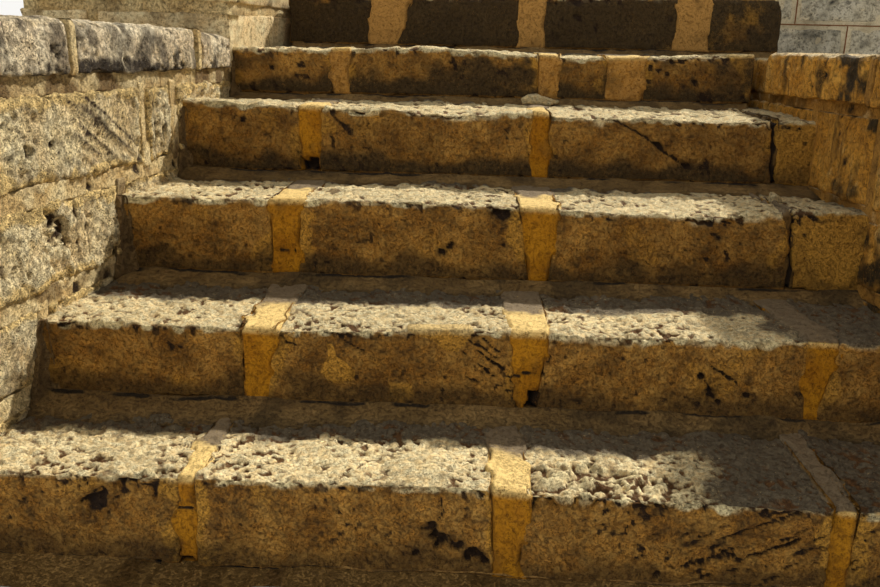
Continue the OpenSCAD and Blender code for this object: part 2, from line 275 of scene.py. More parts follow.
def sweep(loop, length, rowStep, rounding, place, axes, capStep=None):
    # place(a, b, along) gives the point; axes are the world axes of a, b and along
    lead = np.linspace(math.pi / 2, 0, max(2, round(1.4 * rounding / rowStep)) + 1)[:-1]
    middle = graded(length - 2 * rounding, rowStep, rowStep) + rounding
    fall, draw = rounding * (1 - np.sin(lead)), rounding * (1 - np.cos(lead))
    along = np.concatenate([fall, middle, length - fall[::-1]])
    inset = np.concatenate([draw, 0 * middle, draw[::-1]])
    tilt = np.concatenate([-lead, 0 * middle, lead[::-1]])
    half = np.ptp(loop["flat"], axis=0).min() / 2
    longest = np.ptp(loop["flat"], axis=0).max() / 2
    rings = np.linspace(0.05, 1, math.ceil(longest / capStep) + 1)[:-1] if capStep else np.array([0.5])
    shrink = np.concatenate([rings, np.ones(len(along)), rings[::-1]])
    along, inset, tilt = (np.pad(v, len(rings), mode="edge") for v in (along, inset, tilt))
    flat, facing = loop["flat"], loop["facing"]
    centre = flat.mean(0)
    grid = flat[None] - inset[:, None, None] * facing[None]
    grid = centre + (grid - centre) * shrink[:, None, None]
    rows, count = grid.shape[:2]
    alongGrid = np.repeat(along[:, None], count, axis=1)
    points = place(grid[..., 0].ravel(), grid[..., 1].ravel(), alongGrid.ravel())
    normals = np.zeros((rows, count, 3))
    normals[..., axes[0]] = facing[None, :, 0] * np.cos(tilt)[:, None]
    normals[..., axes[1]] = facing[None, :, 1] * np.cos(tilt)[:, None]
    normals[..., axes[2]] = np.sin(tilt)[:, None]
    edge = np.minimum(loop["reach"][None], np.minimum(along, length - along)[:, None])
    edge = np.where(shrink[:, None] < 1, (1 - shrink[:, None]) * half, edge)
    side = np.repeat(loop["side"][None], rows, axis=0)
    side = np.where(np.abs(tilt)[:, None] > 1.5, np.where(tilt[:, None] < 0, -1, -2), side)
    ids = np.arange(rows * count).reshape(rows, count)
    here, there = ids[:-1], ids[1:]
    quads = np.stack([here, np.roll(here, -1, 1), np.roll(there, -1, 1), there], axis=-1).reshape(-1, 4)
    last = rows * count
    first = np.stack([np.full(count, last), np.roll(ids[0], -1), ids[0]], axis=-1)
    final = np.stack([np.full(count, last + 1), ids[-1], np.roll(ids[-1], -1)], axis=-1)
    points = np.concatenate([points, points[:count].mean(0)[None], points[-count:].mean(0)[None]])
    normals = np.concatenate([normals.reshape(-1, 3), normals[0, :1], normals[-1, -1:]])
    shape = {"points": points, "normals": normals,
             "side": np.concatenate([side.ravel(), [-1, -2]]),
             "edge": np.concatenate([edge.ravel(), [half, half]]),
             "along": np.concatenate([alongGrid.ravel(), [0, length]]),
             "quads": quads, "tris": np.concatenate([first, final]), "marks": {}}
    a, b, c = (points[quads[:, n]] for n in range(3))
    d = points[quads[:, 3]]
    outwards = np.einsum("ij,ij->", np.cross(c - a, d - b), (a + b + c + d) / 4 - points.mean(0))
    if outwards < 0:  # the faces look inwards
        shape["quads"] = quads[:, ::-1]
        shape["tris"] = shape["tris"][:, ::-1]
    return shape


# hollow carries painted shade in hollows, partly dirt; stain carries painted shade on the treads besides
# dirt and growth
markNames = ("tread", "hollow", "fresh", "smear", "stain", "tone")
triangleCount = {}


def pushOut(shape, relief):  # moves the skin along its normals
    shape["points"] = shape["points"] + shape["normals"] * relief[:, None]


def pieceName(node):  # left_coping becomes LeftCoping
    return node.replace("_", " ").title().replace(" ", "")


def makePiece(name, shapes, material, nodes):
    offset = 0
    quads, tris = [], []
    for shape in shapes:
        quads.append(shape["quads"] + offset)
        tris.append(shape["tris"] + offset)
        offset += len(shape["points"])
    points = np.concatenate([shape["points"] for shape in shapes])
    points = np.clip(points, cadBounds[0], cadBounds[1]).astype(np.float32)
    quads, tris = np.concatenate(quads), np.concatenate(tris)
    mesh = bpy.data.meshes.new(name)
    mesh.vertices.add(len(points))
    mesh.vertices.foreach_set("co", points.ravel())
    corners = np.concatenate([quads.ravel(), tris.ravel()]).astype(np.int32)
    mesh.loops.add(len(corners))
    mesh.loops.foreach_set("vertex_index", corners)
    mesh.polygons.add(len(quads) + len(tris))
    starts = np.concatenate([np.arange(len(quads)) * 4, 4 * len(quads) + np.arange(len(tris)) * 3])
    mesh.polygons.foreach_set("loop_start", starts.astype(np.int32))
    mesh.polygons.foreach_set("use_smooth", np.ones(len(starts), bool))
    for mark in markNames:
        values = [shape["marks"].get(mark, 0) + np.zeros(len(shape["points"])) for shape in shapes]
        attribute = mesh.attributes.new(mark, "FLOAT", "POINT")
        attribute.data.foreach_set("value", np.clip(np.concatenate(values), -1, 1).astype(np.float32))
    mesh.update(calc_edges=True)
    mesh.materials.append(material)
    piece = bpy.data.objects.new(name, mesh)
    bpy.context.scene.collection.objects.link(piece)
    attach(piece, "root")
    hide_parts(*nodes)
    triangleCount[name] = 2 * len(quads) + len(tris)
    return piece


# shader helpers and the groups that the stones and mortars share
def rgb(*shown):  # a colour as a picture shows it, 0 to 255, made linear
    return tuple(((v / 255 + 0.055) / 1.055) ** 2.4 if v > 10 else v / 3295 for v in shown) + (1,)


def addNode(tree, kind, **values):
    node = tree.nodes.new(kind)
    for key, value in values.items():
        setattr(node, key, value)
    return node


def feed(tree, source, socket):
    if isinstance(source, (int, float, tuple)):
        socket.default_value = source
    else:
        tree.links.new(source, socket)


def mixColour(tree, share, first, second, blend="MIX"):
    node = addNode(tree, "ShaderNodeMix", data_type="RGBA", blend_type=blend)
    feed(tree, share, node.inputs[0])
    feed(tree, first, node.inputs[6])
    feed(tree, second, node.inputs[7])
    return node.outputs[2]


def maths(tree, operation, first, second=0.0, clamp=False):
    node = addNode(tree, "ShaderNodeMath", operation=operation, use_clamp=clamp)
    feed(tree, first, node.inputs[0])
    feed(tree, second, node.inputs[1])
    return node.outputs[0]


def weighted(tree, values, weights):  # the sum of some values, each times its weight
    total = None
    for value, weight in zip(values, weights):
        part = maths(tree, "MULTIPLY", value, weight)
        total = part if total is None else maths(tree, "ADD", total, part)
    return total


def spread(tree, value, low, high, outLow=0.0, outHigh=1.0):  # a value between low and high, stretched
    node = addNode(tree, "ShaderNodeMapRange", interpolation_type="SMOOTHSTEP")
    for socket, source in zip(node.inputs, (value, low, high, outLow, outHigh)):
        feed(tree, source, socket)
    return node.outputs[0]


def noiseNode(tree, vector, scale, detail=2.0, roughness=0.5):
    node = addNode(tree, "ShaderNodeTexNoise")
    feed(tree, vector, node.inputs["Vector"])
    feed(tree, scale, node.inputs["Scale"])
    node.inputs["Detail"].default_value = detail
    node.inputs["Roughness"].default_value = roughness
    return node.outputs["Fac"]


def startGroup(name, inputs, outputs):
    group = bpy.data.node_groups.new(name, "ShaderNodeTree")
    kinds = {"c": "NodeSocketColor", "f": "NodeSocketFloat"}
    for socketName, kind in inputs:
        group.interface.new_socket(socketName, in_out="INPUT", socket_type=kinds[kind])
    for socketName, kind in outputs:
        group.interface.new_socket(socketName, in_out="OUTPUT", socket_type=kinds[kind])
    return group, addNode(group, "NodeGroupInput").outputs, addNode(group, "NodeGroupOutput").inputs


grainSettings = dict(
    # layers of noise: waves per metre, detail, roughness; the range is what becomes 0 to 1
    blotch=(9.0, 4.0, 0.6), blotchRange=(0.3, 0.7),
    mottle=(42.0, 4.0, 0.65), mottleRange=(0.3, 0.7),
    grit=(76.0, 6.0, 0.78), gritRange=(0.35, 0.49),
    crumb=(130.0, 5.0, 0.72), crumbRange=(0.34, 0.495),
    speck=(330.0, 3.0, 0.7), speckRange=(0.37, 0.49),
    pore=190.0, poreRange=(0.36, 0.14), poreMottle=(0.44, 0.6), poreDepth=0.6,
    # weights of crumb, speck and grit, and of mottle and crumb in the breakup
    heightWeights=(0.4, 0.2, 0.6), speckWeights=(0.35, 0.25, 0.4), breakupWeights=(0.4, 0.6),
)


def buildGrain(s):
    outputs = [(name, "f") for name in ("Blotch", "Mottle", "Speck", "Pore", "Breakup", "Height")]
    tree, given, result = startGroup("limestoneGrain", [("Scale", "f")], outputs)
    spot = addNode(tree, "ShaderNodeVectorMath", operation="SCALE")
    tree.links.new(addNode(tree, "ShaderNodeTexCoord").outputs["Object"], spot.inputs[0])
    tree.links.new(given["Scale"], spot.inputs["Scale"])
    place = spot.outputs[0]
    blotch, mottle = (noiseNode(tree, place, *s[layer]) for layer in ("blotch", "mottle"))
    grit, crumb, speck = (spread(tree, noiseNode(tree, place, *s[layer]), *s[layer + "Range"])
                          for layer in ("grit", "crumb", "speck"))
    cells = addNode(tree, "ShaderNodeTexVoronoi", feature="F1")
    tree.links.new(place, cells.inputs["Vector"])
    cells.inputs["Scale"].default_value = s["pore"]
    holes = spread(tree, cells.outputs["Distance"], *s["poreRange"])
    pore = maths(tree, "MULTIPLY", holes, spread(tree, mottle, *s["poreMottle"]))
    high = weighted(tree, (crumb, speck, grit), s["heightWeights"])
    broad = spread(tree, mottle, *s["mottleRange"])
    feed(tree, spread(tree, blotch, *s["blotchRange"]), result["Blotch"])
    feed(tree, broad, result["Mottle"])
    feed(tree, weighted(tree, (crumb, speck, grit), s["speckWeights"]), result["Speck"])
    feed(tree, pore, result["Pore"])
    feed(tree, weighted(tree, (broad, crumb), s["breakupWeights"]), result["Breakup"])
    feed(tree, maths(tree, "SUBTRACT", high, maths(tree, "MULTIPLY", pore, s["poreDepth"])),
         result["Height"])
    return tree


weatherSettings = dict(solid=0.5, range=(0.15, 0.85))  # what a layer keeps where the breakup is 0


def buildWeather(s):
    # base colour, then fresh breaks, mortar smear, stains and dark hollows over it; the hollows carry
    # painted shade, partly dirt, and the stains on the treads painted shade too
    names = [("Base", "c"), ("Smear Colour", "c"), ("Smear", "f"), ("Fresh Colour", "c"), ("Fresh", "f"),
             ("Stain Colour", "c"), ("Stain", "f"), ("Hollow Colour", "c"), ("Hollow", "f"),
             ("Breakup", "f")]
    tree, given, result = startGroup("weather", names, [("Color", "c")])
    colour = given["Base"]
    for layer in ("Fresh", "Smear", "Stain", "Hollow"):
        broken = maths(tree, "MULTIPLY", given[layer], maths(tree, "ADD", given["Breakup"], s["solid"]))
        colour = mixColour(tree, spread(tree, broken, *s["range"]), colour, given[layer + " Colour"])
    feed(tree, colour, result["Color"])
    return tree


grainGroup = buildGrain(grainSettings)
weatherGroup = buildWeather(weatherSettings)


def mark(tree, name):
    return addNode(tree, "ShaderNodeAttribute", attribute_name=name).outputs["Fac"]


def useGroup(tree, group, **values):
    node = addNode(tree, "ShaderNodeGroup", node_tree=group)
    for key, value in values.items():
        feed(tree, value, node.inputs[key.replace("_", " ")])
    return node.outputs


surfaceSettings = dict(
    specular=0.25, stoneRoughness=(0.82, 0.97), mortarRoughness=(0.8, 0.95), warmShare=0.6,
    streakWaves=(1.0, 4.0, 0.65), streakRange=(0.34, 0.6, 0.6, 1.0),
)
white = (1.0, 1.0, 1.0, 1.0)


def startMaterial(name, look):
    material = bpy.data.materials.new(name)
    material.use_nodes = True
    tree = material.node_tree
    return material, tree, tree.nodes["Principled BSDF"], useGroup(tree, grainGroup, Scale=look["scale"])


def onTread(tree, look, name):  # a colour of the look, or the one that it has for the treads
    return mixColour(tree, mark(tree, "tread"), rgb(*look[name]), rgb(*look.get(name + "Top", look[name])))


def speckled(tree, grain, colour, speck, hollow, pores):  # dark specks, and pores in the hollow colour: painted shade in the pores, partly dirt
    specks = mixColour(tree, grain["Speck"], speck, white)
    colour = mixColour(tree, 1.0, colour, specks, "MULTIPLY")
    return mixColour(tree, maths(tree, "MULTIPLY", grain["Pore"], pores), colour, hollow)


def finishMaterial(tree, shader, grain, colour, roughness, bump):
    feed(tree, colour, shader.inputs["Base Color"])
    feed(tree, spread(tree, grain["Mottle"], 0.0, 1.0, *roughness), shader.inputs["Roughness"])
    shader.inputs["Specular IOR Level"].default_value = surfaceSettings["specular"]
    relief = addNode(tree, "ShaderNodeBump")
    relief.inputs["Distance"].default_value = bump
    feed(tree, grain["Height"], relief.inputs["Height"])
    feed(tree, relief.outputs[0], shader.inputs["Normal"])


def stoneMaterial(name, look):
    material, tree, shader, grain = startMaterial(name, look)
    face = mixColour(tree, grain["Blotch"], rgb(*look["dark"]), rgb(*look["light"]))
    warmth = maths(tree, "MULTIPLY", grain["Mottle"], surfaceSettings["warmShare"])
    face = mixColour(tree, warmth, face, rgb(*look["warm"]))
    top = mixColour(tree, grain["Mottle"], rgb(*look["topDark"]), rgb(*look["top"]))
    base = mixColour(tree, mark(tree, "tread"), face, top)
    tone = spread(tree, mark(tree, "tone"), -1.0, 1.0, 1 - look["tone"], 1 + look["tone"])
    stain, hollow = onTread(tree, look, "stain"), onTread(tree, look, "hollow")
    weather = useGroup(tree, weatherGroup, Base=base, Breakup=grain["Breakup"],
                       Smear_Colour=onTread(tree, look, "smear"), Smear=mark(tree, "smear"),
                       Fresh_Colour=rgb(*look["fresh"]), Fresh=mark(tree, "fresh"),
                       Stain_Colour=stain, Stain=mark(tree, "stain"),
                       Hollow_Colour=hollow, Hollow=mark(tree, "hollow"))
    speck = onTread(tree, look, "speck")
    specked = speckled(tree, grain, weather["Color"], speck, hollow, look["pores"])
    toned = addNode(tree, "ShaderNodeHueSaturation")
    feed(tree, specked, toned.inputs["Color"])
    feed(tree, tone, toned.inputs["Value"])
    finishMaterial(tree, shader, grain, toned.outputs[0], surfaceSettings["stoneRoughness"], look["bump"])
    return material


stepStoneLook = dict(
    dark=(100, 72, 31), light=(202, 154, 75), warm=(200, 136, 48),
    top=(255, 240, 190), topDark=(254, 222, 158), fresh=(255, 236, 180),
    # stainTop, the stain colour on the treads, is mostly painted shade: the dark tread backs and the painted
    # shadow at their right ends
    smear=(214, 158, 62), smearTop=(250, 216, 144), stain=(80, 62, 32), stainTop=(114, 102, 80),
    # the hollow colours darken pits, holes and cracks: painted shade, partly dirt
    hollow=(46, 29, 11), hollowTop=(112, 78, 42), speck=(82, 60, 30), speckTop=(132, 102, 62),
    scale=1.8, tone=0.17, pores=0.85, bump=0.0036)
flankStoneLook = dict(
    dark=(240, 206, 148), light=(255, 238, 190), warm=(255, 226, 160),
    top=(236, 216, 172), topDark=(200, 178, 136), fresh=(255, 238, 190),
    smear=(246, 212, 140), stain=(118, 92, 56),
    hollow=(66, 45, 20), speck=(88, 64, 34), speckTop=(102, 80, 48),
    scale=0.95, tone=0.14, pores=0.9, bump=0.0105)
copingStoneLook = dict(
    dark=(240, 214, 172), light=(255, 240, 204), warm=(255, 230, 182),
    top=(232, 216, 182), topDark=(194, 176, 142), fresh=(255, 240, 202),
    smear=(240, 210, 150), stain=(70, 58, 42),
    hollow=(48, 36, 22), speck=(76, 62, 42),
    scale=1.1, tone=0.1, pores=0.9, bump=0.0095)
# the right wall: its inner faces take dark, light and warm, the stone's colour with painted shade, warm and
# dark; its top and outer side take the pale top colours
rightStoneLook = dict(
    dark=(176, 122, 44), light=(236, 180, 82), warm=(244, 172, 58),
    top=(244, 222, 172), topDark=(206, 178, 126), fresh=(238, 196, 116),
    smear=(220, 164, 68), smearTop=(240, 206, 138), stain=(66, 52, 26), stainTop=(90, 76, 48),
    hollow=(44, 30, 13), hollowTop=(60, 42, 22), speck=(86, 62, 28), speckTop=(130, 106, 70),
    scale=1.2, tone=0.14, pores=0.7, bump=0.003)
terraceStoneLook = dict(
    dark=(240, 206, 146), light=(255, 242, 194), warm=(252, 220, 162),
    top=(230, 212, 170), topDark=(194, 172, 130), fresh=(255, 232, 182),
    smear=(244, 206, 134), stain=(120, 102, 72),
    hollow=(72, 52, 27), speck=(138, 110, 68), speckTop=(150, 124, 84),
    scale=0.9, tone=0.12, pores=0.5, bump=0.003)
ashlarStoneLook = dict(
    dark=(158, 154, 136), light=(200, 192, 168), warm=(184, 174, 148),
    top=(212, 206, 186), topDark=(180, 174, 154), fresh=(216, 210, 190),
    smear=(216, 204, 174), stain=(96, 94, 84),
    hollow=(60, 58, 52), speck=(84, 84, 78),
    scale=0.6, tone=0.05, pores=0.6, bump=0.0026)
stepStone = stoneMaterial("stepStone", stepStoneLook)
flankStone = stoneMaterial("flankStone", flankStoneLook)
copingStone = stoneMaterial("copingStone", copingStoneLook)
rightStone = stoneMaterial("rightStone", rightStoneLook)
terraceStone = stoneMaterial("terraceStone", terraceStoneLook)
ashlarStone = stoneMaterial("ashlarStone", ashlarStoneLook)


def mortarMaterial(name, look):
    material, tree, shader, grain = startMaterial(name, look)
    base = mixColour(tree, grain["Blotch"], rgb(*look["dark"]), rgb(*look["light"]))
    base = mixColour(tree, mark(tree, "tread"), base, rgb(*look["top"]))
    if "streaks" in look:  # lines left by the trowel, along the step
        drawn = addNode(tree, "ShaderNodeVectorMath", operation="MULTIPLY")
        tree.links.new(addNode(tree, "ShaderNodeTexCoord").outputs["Object"], drawn.inputs[0])
        drawn.inputs[1].default_value = look["streaks"]
        waves = noiseNode(tree, drawn.outputs[0], *surfaceSettings["streakWaves"])
        lines = spread(tree, waves, *surfaceSettings["streakRange"])
        base = mixColour(tree, lines, rgb(*look["stain"]), base)
    hollow = rgb(*look["hollow"])
    weather = useGroup(tree, weatherGroup, Base=base, Breakup=grain["Breakup"],
                       Smear_Colour=rgb(*look["pale"]), Smear=mark(tree, "smear"),
                       Fresh_Colour=rgb(*look["top"]), Fresh=mark(tree, "fresh"),
                       Stain_Colour=onTread(tree, look, "stain"), Stain=mark(tree, "stain"),
                       Hollow_Colour=hollow, Hollow=mark(tree, "hollow"))
    specked = speckled(tree, grain, weather["Color"], rgb(*look["speck"]), hollow, look["pores"])
    finishMaterial(tree, shader, grain, specked, surfaceSettings["mortarRoughness"], look["bump"])
    return material


jointMortarLook = dict(
    dark=(170, 110, 8), light=(200, 138, 23), pale=(196, 148, 78), top=(250, 214, 136),
    # stainTop is the colour of the painted shade on the joints' tread part
    stain=(104, 76, 34), stainTop=(136, 118, 90), hollow=(40, 27, 12), speck=(140, 118, 76),
    scale=1.4, pores=0.6, bump=0.0018)
filletMortarLook = dict(
    dark=(112, 86, 45), light=(160, 128, 76), pale=(192, 148, 82), top=(146, 124, 86),
    stain=(94, 74, 42), stainTop=(104, 86, 56), hollow=(42, 32, 18), speck=(120, 98, 62),
    scale=1.4, pores=0.5, bump=0.0032, streaks=(9.0, 60.0, 60.0))
wallMortarLook = dict(
    dark=(222, 186, 122), light=(255, 230, 170), pale=(255, 230, 170), top=(255, 232, 176),
    stain=(136, 108, 66), hollow=(58, 42, 22), speck=(112, 88, 52),
    scale=1.3, pores=0.6, bump=0.0046)
# the right wall's mortar: dark and light on the inner faces carry painted shade; its top and outer side take
# top
rightMortarLook = dict(
    dark=(156, 112, 48), light=(204, 152, 70), pale=(204, 152, 70), top=(226, 196, 140),
    stain=(84, 66, 36), stainTop=(140, 118, 80), hollow=(46, 33, 16), speck=(120, 98, 62),
    scale=1.2, pores=0.5, bump=0.0024)
ashlarMortarLook = dict(
    dark=(192, 180, 150), light=(212, 200, 168), pale=(216, 204, 172), top=(216, 204, 172),
    stain=(140, 128, 102), hollow=(122, 78, 44), speck=(186, 176, 158),
    scale=1.0, pores=0.0, bump=0.0008)
jointMortar = mortarMaterial("jointMortar", jointMortarLook)
filletMortar = mortarMaterial("filletMortar", filletMortarLook)
wallMortar = mortarMaterial("wallMortar", wallMortarLook)
rightMortarMaterial = mortarMaterial("rightMortar", rightMortarLook)
ashlarMortar = mortarMaterial("ashlarMortar", ashlarMortarLook)
coreFill = mortarMaterial("coreFill", filletMortarLook)
print("materials built")


# marks on the steps: x from the middle of the flight, s from the nosing, minus down the riser and plus
# along the tread; holes (x, s, half width, half height, depth), cracks (line, width, depth), broken
# (outline, depth), scored (middle, half sizes, degrees, depth), patches of mortar (outline, amount),
# worn (from x, to x, depth) and the rise of the nosing in millimetres at some places
def onLine(x, s, line):  # distance to a line of points
    nearest = np.full(len(x), 9.0)
    for (x0, s0), (x1, s1) in zip(line, line[1:]):
        dx, ds = x1 - x0, s1 - s0
        t = np.clip(((x - x0) * dx + (s - s0) * ds) / (dx * dx + ds * ds), 0, 1)
        nearest = np.minimum(nearest, np.hypot(x - x0 - t * dx, s - s0 - t * ds))
    return nearest


def inPatch(x, s, outline, soft=0.004):  # 1 inside an outline, 0 outside, soft at the edge
    edge = onLine(x, s, outline + outline[:1])
    inside = np.zeros(len(x), bool)
    for (x0, s0), (x1, s1) in zip(outline, outline[1:] + outline[:1]):
        crosses = (s0 > s) != (s1 > s)
        inside ^= crosses & (x < (x1 - x0) * (s - s0) / (s1 - s0 + 1e-9) + x0)
    return smooth(np.where(inside, edge, -edge), -soft, soft)


stepMarks = {
    1: dict(holes=[(-0.064, -0.074, 0.012, 0.01, 0.01), (-0.046, -0.091, 0.019, 0.012, 0.016),
                   (-0.021, -0.099, 0.012, 0.008, 0.01), (0.003, -0.116, 0.017, 0.011, 0.014),
                   (0.027, -0.13, 0.008, 0.007, 0.008), (0.375, -0.114, 0.008, 0.006, 0.008),
                   (0.307, -0.136, 0.007, 0.006, 0.008), (-0.086, -0.117, 0.007, 0.006, 0.008),
                   (-0.62, 0.06, 0.02, 0.014, 0.007), (0.22, 0.05, 0.018, 0.014, 0.007)],
            cracks=[([(-0.518, 0.012), (-0.564, -0.019), (-0.6, -0.042), (-0.633, -0.056)], 0.004, 0.009),
                    ([(-0.049, -0.023), (-0.045, -0.041), (-0.051, -0.059)], 0.002, 0.004),
                    ([(0.367, -0.071), (0.402, -0.069), (0.443, -0.049), (0.531, -0.012)], 0.0035, 0.007),
                    ([(0.4, -0.086), (0.442, -0.107), (0.485, -0.083), (0.523, -0.063)], 0.0035, 0.007),
                    ([(-0.47, 0.05), (-0.5, 0.11), (-0.49, 0.16)], 0.003, 0.004)],
            broken=[([(-0.655, -0.055), (-0.565, -0.012), (-0.52, 0.03), (-0.475, 0.03), (-0.475, -0.03),
                      (-0.54, -0.05), (-0.6, -0.085)], 0.006),
                    ([(0.09, 0.09), (0.095, -0.035), (0.15, -0.028), (0.206, -0.034), (0.268, -0.022),
                      (0.37, -0.012), (0.4, 0.05), (0.32, 0.085), (0.2, 0.12)], 0.0075),
                    ([(0.4, 0.02), (0.41, -0.02), (0.47, -0.03), (0.55, -0.015), (0.56, 0.03)], 0.005)],
            scored=[((0.5, -0.088), (0.28, 0.08), 22, 0.0042), ((-0.72, -0.07), (0.16, 0.06), 25, 0.0022)],
            nosing=([-0.73, -0.3, -0.17, -0.06, 0.09, 0.43, 0.575], [-1, 3, 4, 7, 1, -5, -8])),
    2: dict(holes=[(0.426, -0.072, 0.007, 0.006, 0.008), (0.446, -0.1, 0.014, 0.008, 0.01),
                   (0.46, -0.121, 0.007, 0.008, 0.009), (0.514, -0.104, 0.008, 0.006, 0.008),
                   (-0.2, 0.03, 0.014, 0.01, 0.006), (0.3, 0.04, 0.016, 0.012, 0.006)],
            cracks=[([(-0.272, -0.004), (-0.242, -0.024), (-0.182, -0.066)], 0.0032, 0.006),
                    ([(-0.352, -0.03), (-0.33, -0.038)], 0.003, 0.006),
                    ([(-0.01, -0.008), (0.058, -0.04)], 0.0032, 0.006),
                    ([(-0.012, -0.022), (0.056, -0.056)], 0.0032, 0.007),
                    ([(0.0, -0.038), (0.06, -0.074)], 0.0032, 0.006),
                    ([(-0.022, -0.046), (0.04, -0.088), (0.074, -0.098)], 0.0035, 0.006),
                    ([(0.442, -0.053), (0.47, -0.064), (0.495, -0.083)], 0.0035, 0.007),
                    ([(0.426, -0.072), (0.446, -0.098), (0.46, -0.121)], 0.0035, 0.006),
                    ([(0.618, -0.004), (0.635, 0.037), (0.644, 0.137), (0.623, 0.246)], 0.0035, 0.008)],
            broken=[([(-0.27, 0.03), (-0.275, -0.012), (-0.235, -0.02), (-0.21, 0.0), (-0.215, 0.04)],
                     0.004)],
            scored=[((0.035, -0.06), (0.085, 0.06), -32, 0.0036), ((-0.2, -0.05), (0.2, 0.05), -26, 0.0008)],
            patches=[([(-0.274, -0.03), (-0.261, -0.029), (-0.256, -0.055), (-0.236, -0.064),
                       (-0.224, -0.082), (-0.23, -0.1), (-0.262, -0.11), (-0.28, -0.1), (-0.287, -0.085),
                       (-0.272, -0.06)], 1.0),
                     ([(-0.13, 0.03), (-0.01, 0.03), (-0.005, 0.0), (-0.026, -0.044), (-0.048, -0.044),
                       (-0.064, -0.03), (-0.1, -0.016), (-0.125, 0.0)], 1.0),
                     ([(-0.162, -0.1), (-0.12, -0.11), (-0.106, -0.135), (-0.13, -0.15), (-0.158, -0.14)],
                      0.6)],
            worn=[(-0.5, -0.33, 0.004), (0.12, 0.5, 0.005)],
            nosing=([-0.68, -0.38, -0.03, 0.47, 0.58], [-3.5, -7, 4, 5, 6])),
    3: dict(holes=[(0.047, -0.022, 0.02, 0.013, 0.016), (-0.079, -0.112, 0.009, 0.01, 0.01),
                   (-0.059, -0.093, 0.008, 0.009, 0.01), (0.52, -0.06, 0.007, 0.006, 0.006)],
            cracks=[([(0.02, -0.006), (0.047, -0.012), (0.078, -0.002)], 0.004, 0.007),
                    ([(0.668, 0.04), (0.664, 0.0), (0.672, -0.06)], 0.004, 0.008),
                    ([(0.47, 0.01), (0.5, -0.015), (0.55, -0.02)], 0.0035, 0.006)],
            broken=[([(0.37, 0.03), (0.38, -0.012), (0.46, -0.028), (0.56, -0.03), (0.6, 0.0), (0.58, 0.04)],
                     0.006),
                    ([(-0.12, 0.02), (-0.115, -0.008), (-0.05, -0.014), (0.02, -0.006), (0.03, 0.03)],
                     0.004)],
            scored=[((0.5, -0.09), (0.2, 0.06), -20, 0.001)],
            patches=[([(0.716, -0.03), (0.763, -0.022), (0.8, -0.036), (0.822, -0.06), (0.833, -0.102),
                       (0.812, -0.152), (0.77, -0.158), (0.745, -0.14), (0.717, -0.091)], 1.0)],
            worn=[(0.44, 0.67, 0.009), (-0.2, -0.02, 0.005)],
            nosing=([-0.46, -0.17, 0.1, 0.42, 0.67, 0.83], [-3, 5, -4, -10, 4, 8])),
    4: dict(holes=[(0.446, -0.076, 0.013, 0.009, 0.01), (0.52, -0.122, 0.014, 0.006, 0.008),
                   (-0.6, -0.04, 0.009, 0.007, 0.006)],
            cracks=[([(0.308, 0.003), (0.394, -0.039), (0.453, -0.086), (0.526, -0.129), (0.56, -0.14)],
                     0.0052, 0.006)],
            broken=[([(-0.42, 0.02), (-0.4, -0.02), (-0.3, -0.022), (-0.26, 0.02)], 0.005)],
            scored=[((-0.5, -0.07), (0.26, 0.06), -30, 0.001), ((0.45, -0.07), (0.22, 0.06), -28, 0.001)],
            worn=[(-0.16, 0.05, 0.01), (0.19, 0.33, 0.008), (-0.62, -0.42, 0.005), (0.45, 0.7, 0.005)],
            nosing=([-0.75, -0.47, -0.06, 0.15, 0.2, 0.7], [11, 2, -7, 1, -7, -7])),
    5: dict(holes=[(-0.6, -0.06, 0.01, 0.007, 0.006), (0.6, -0.07, 0.01, 0.008, 0.007)],
            scored=[((-0.22, -0.06), (0.32, 0.06), 30, 0.0016), ((0.55, -0.06), (0.2, 0.06), 24, 0.001)],
            broken=[([(0.47, 0.03), (0.48, -0.02), (0.6, -0.03), (0.7, 0.0), (0.66, 0.04)], 0.005)],
            patches=[([(0.345, 0.02), (0.455, 0.02), (0.462, -0.04), (0.396, -0.066), (0.399, -0.112),
                       (0.374, -0.112), (0.36, -0.057)], 0.9),
                     ([(0.668, 0.02), (0.8, 0.02), (0.8, -0.1), (0.762, -0.094), (0.715, -0.045)], 0.7)],
            worn=[(0.05, 0.3, 0.004)],
            nosing=([-0.52, -0.14, 0.21, 0.37, 0.78], [-3, 10, -5, -8, 10])),
    6: dict(holes=[(0.3, -0.06, 0.012, 0.01, 0.008), (-0.1, -0.08, 0.01, 0.008, 0.007)],
            broken=[([(0.2, 0.03), (0.22, -0.03), (0.35, -0.02), (0.38, 0.03)], 0.006)],
            patches=[([(0.6, 0.01), (0.9, 0.01), (0.9, -0.06), (0.8, -0.07), (0.7, -0.05)], 0.7)],
            nosing=([-0.62, -0.3, 0.0, 0.35, 0.8], [2, 6, 12, 18, 24])),
}
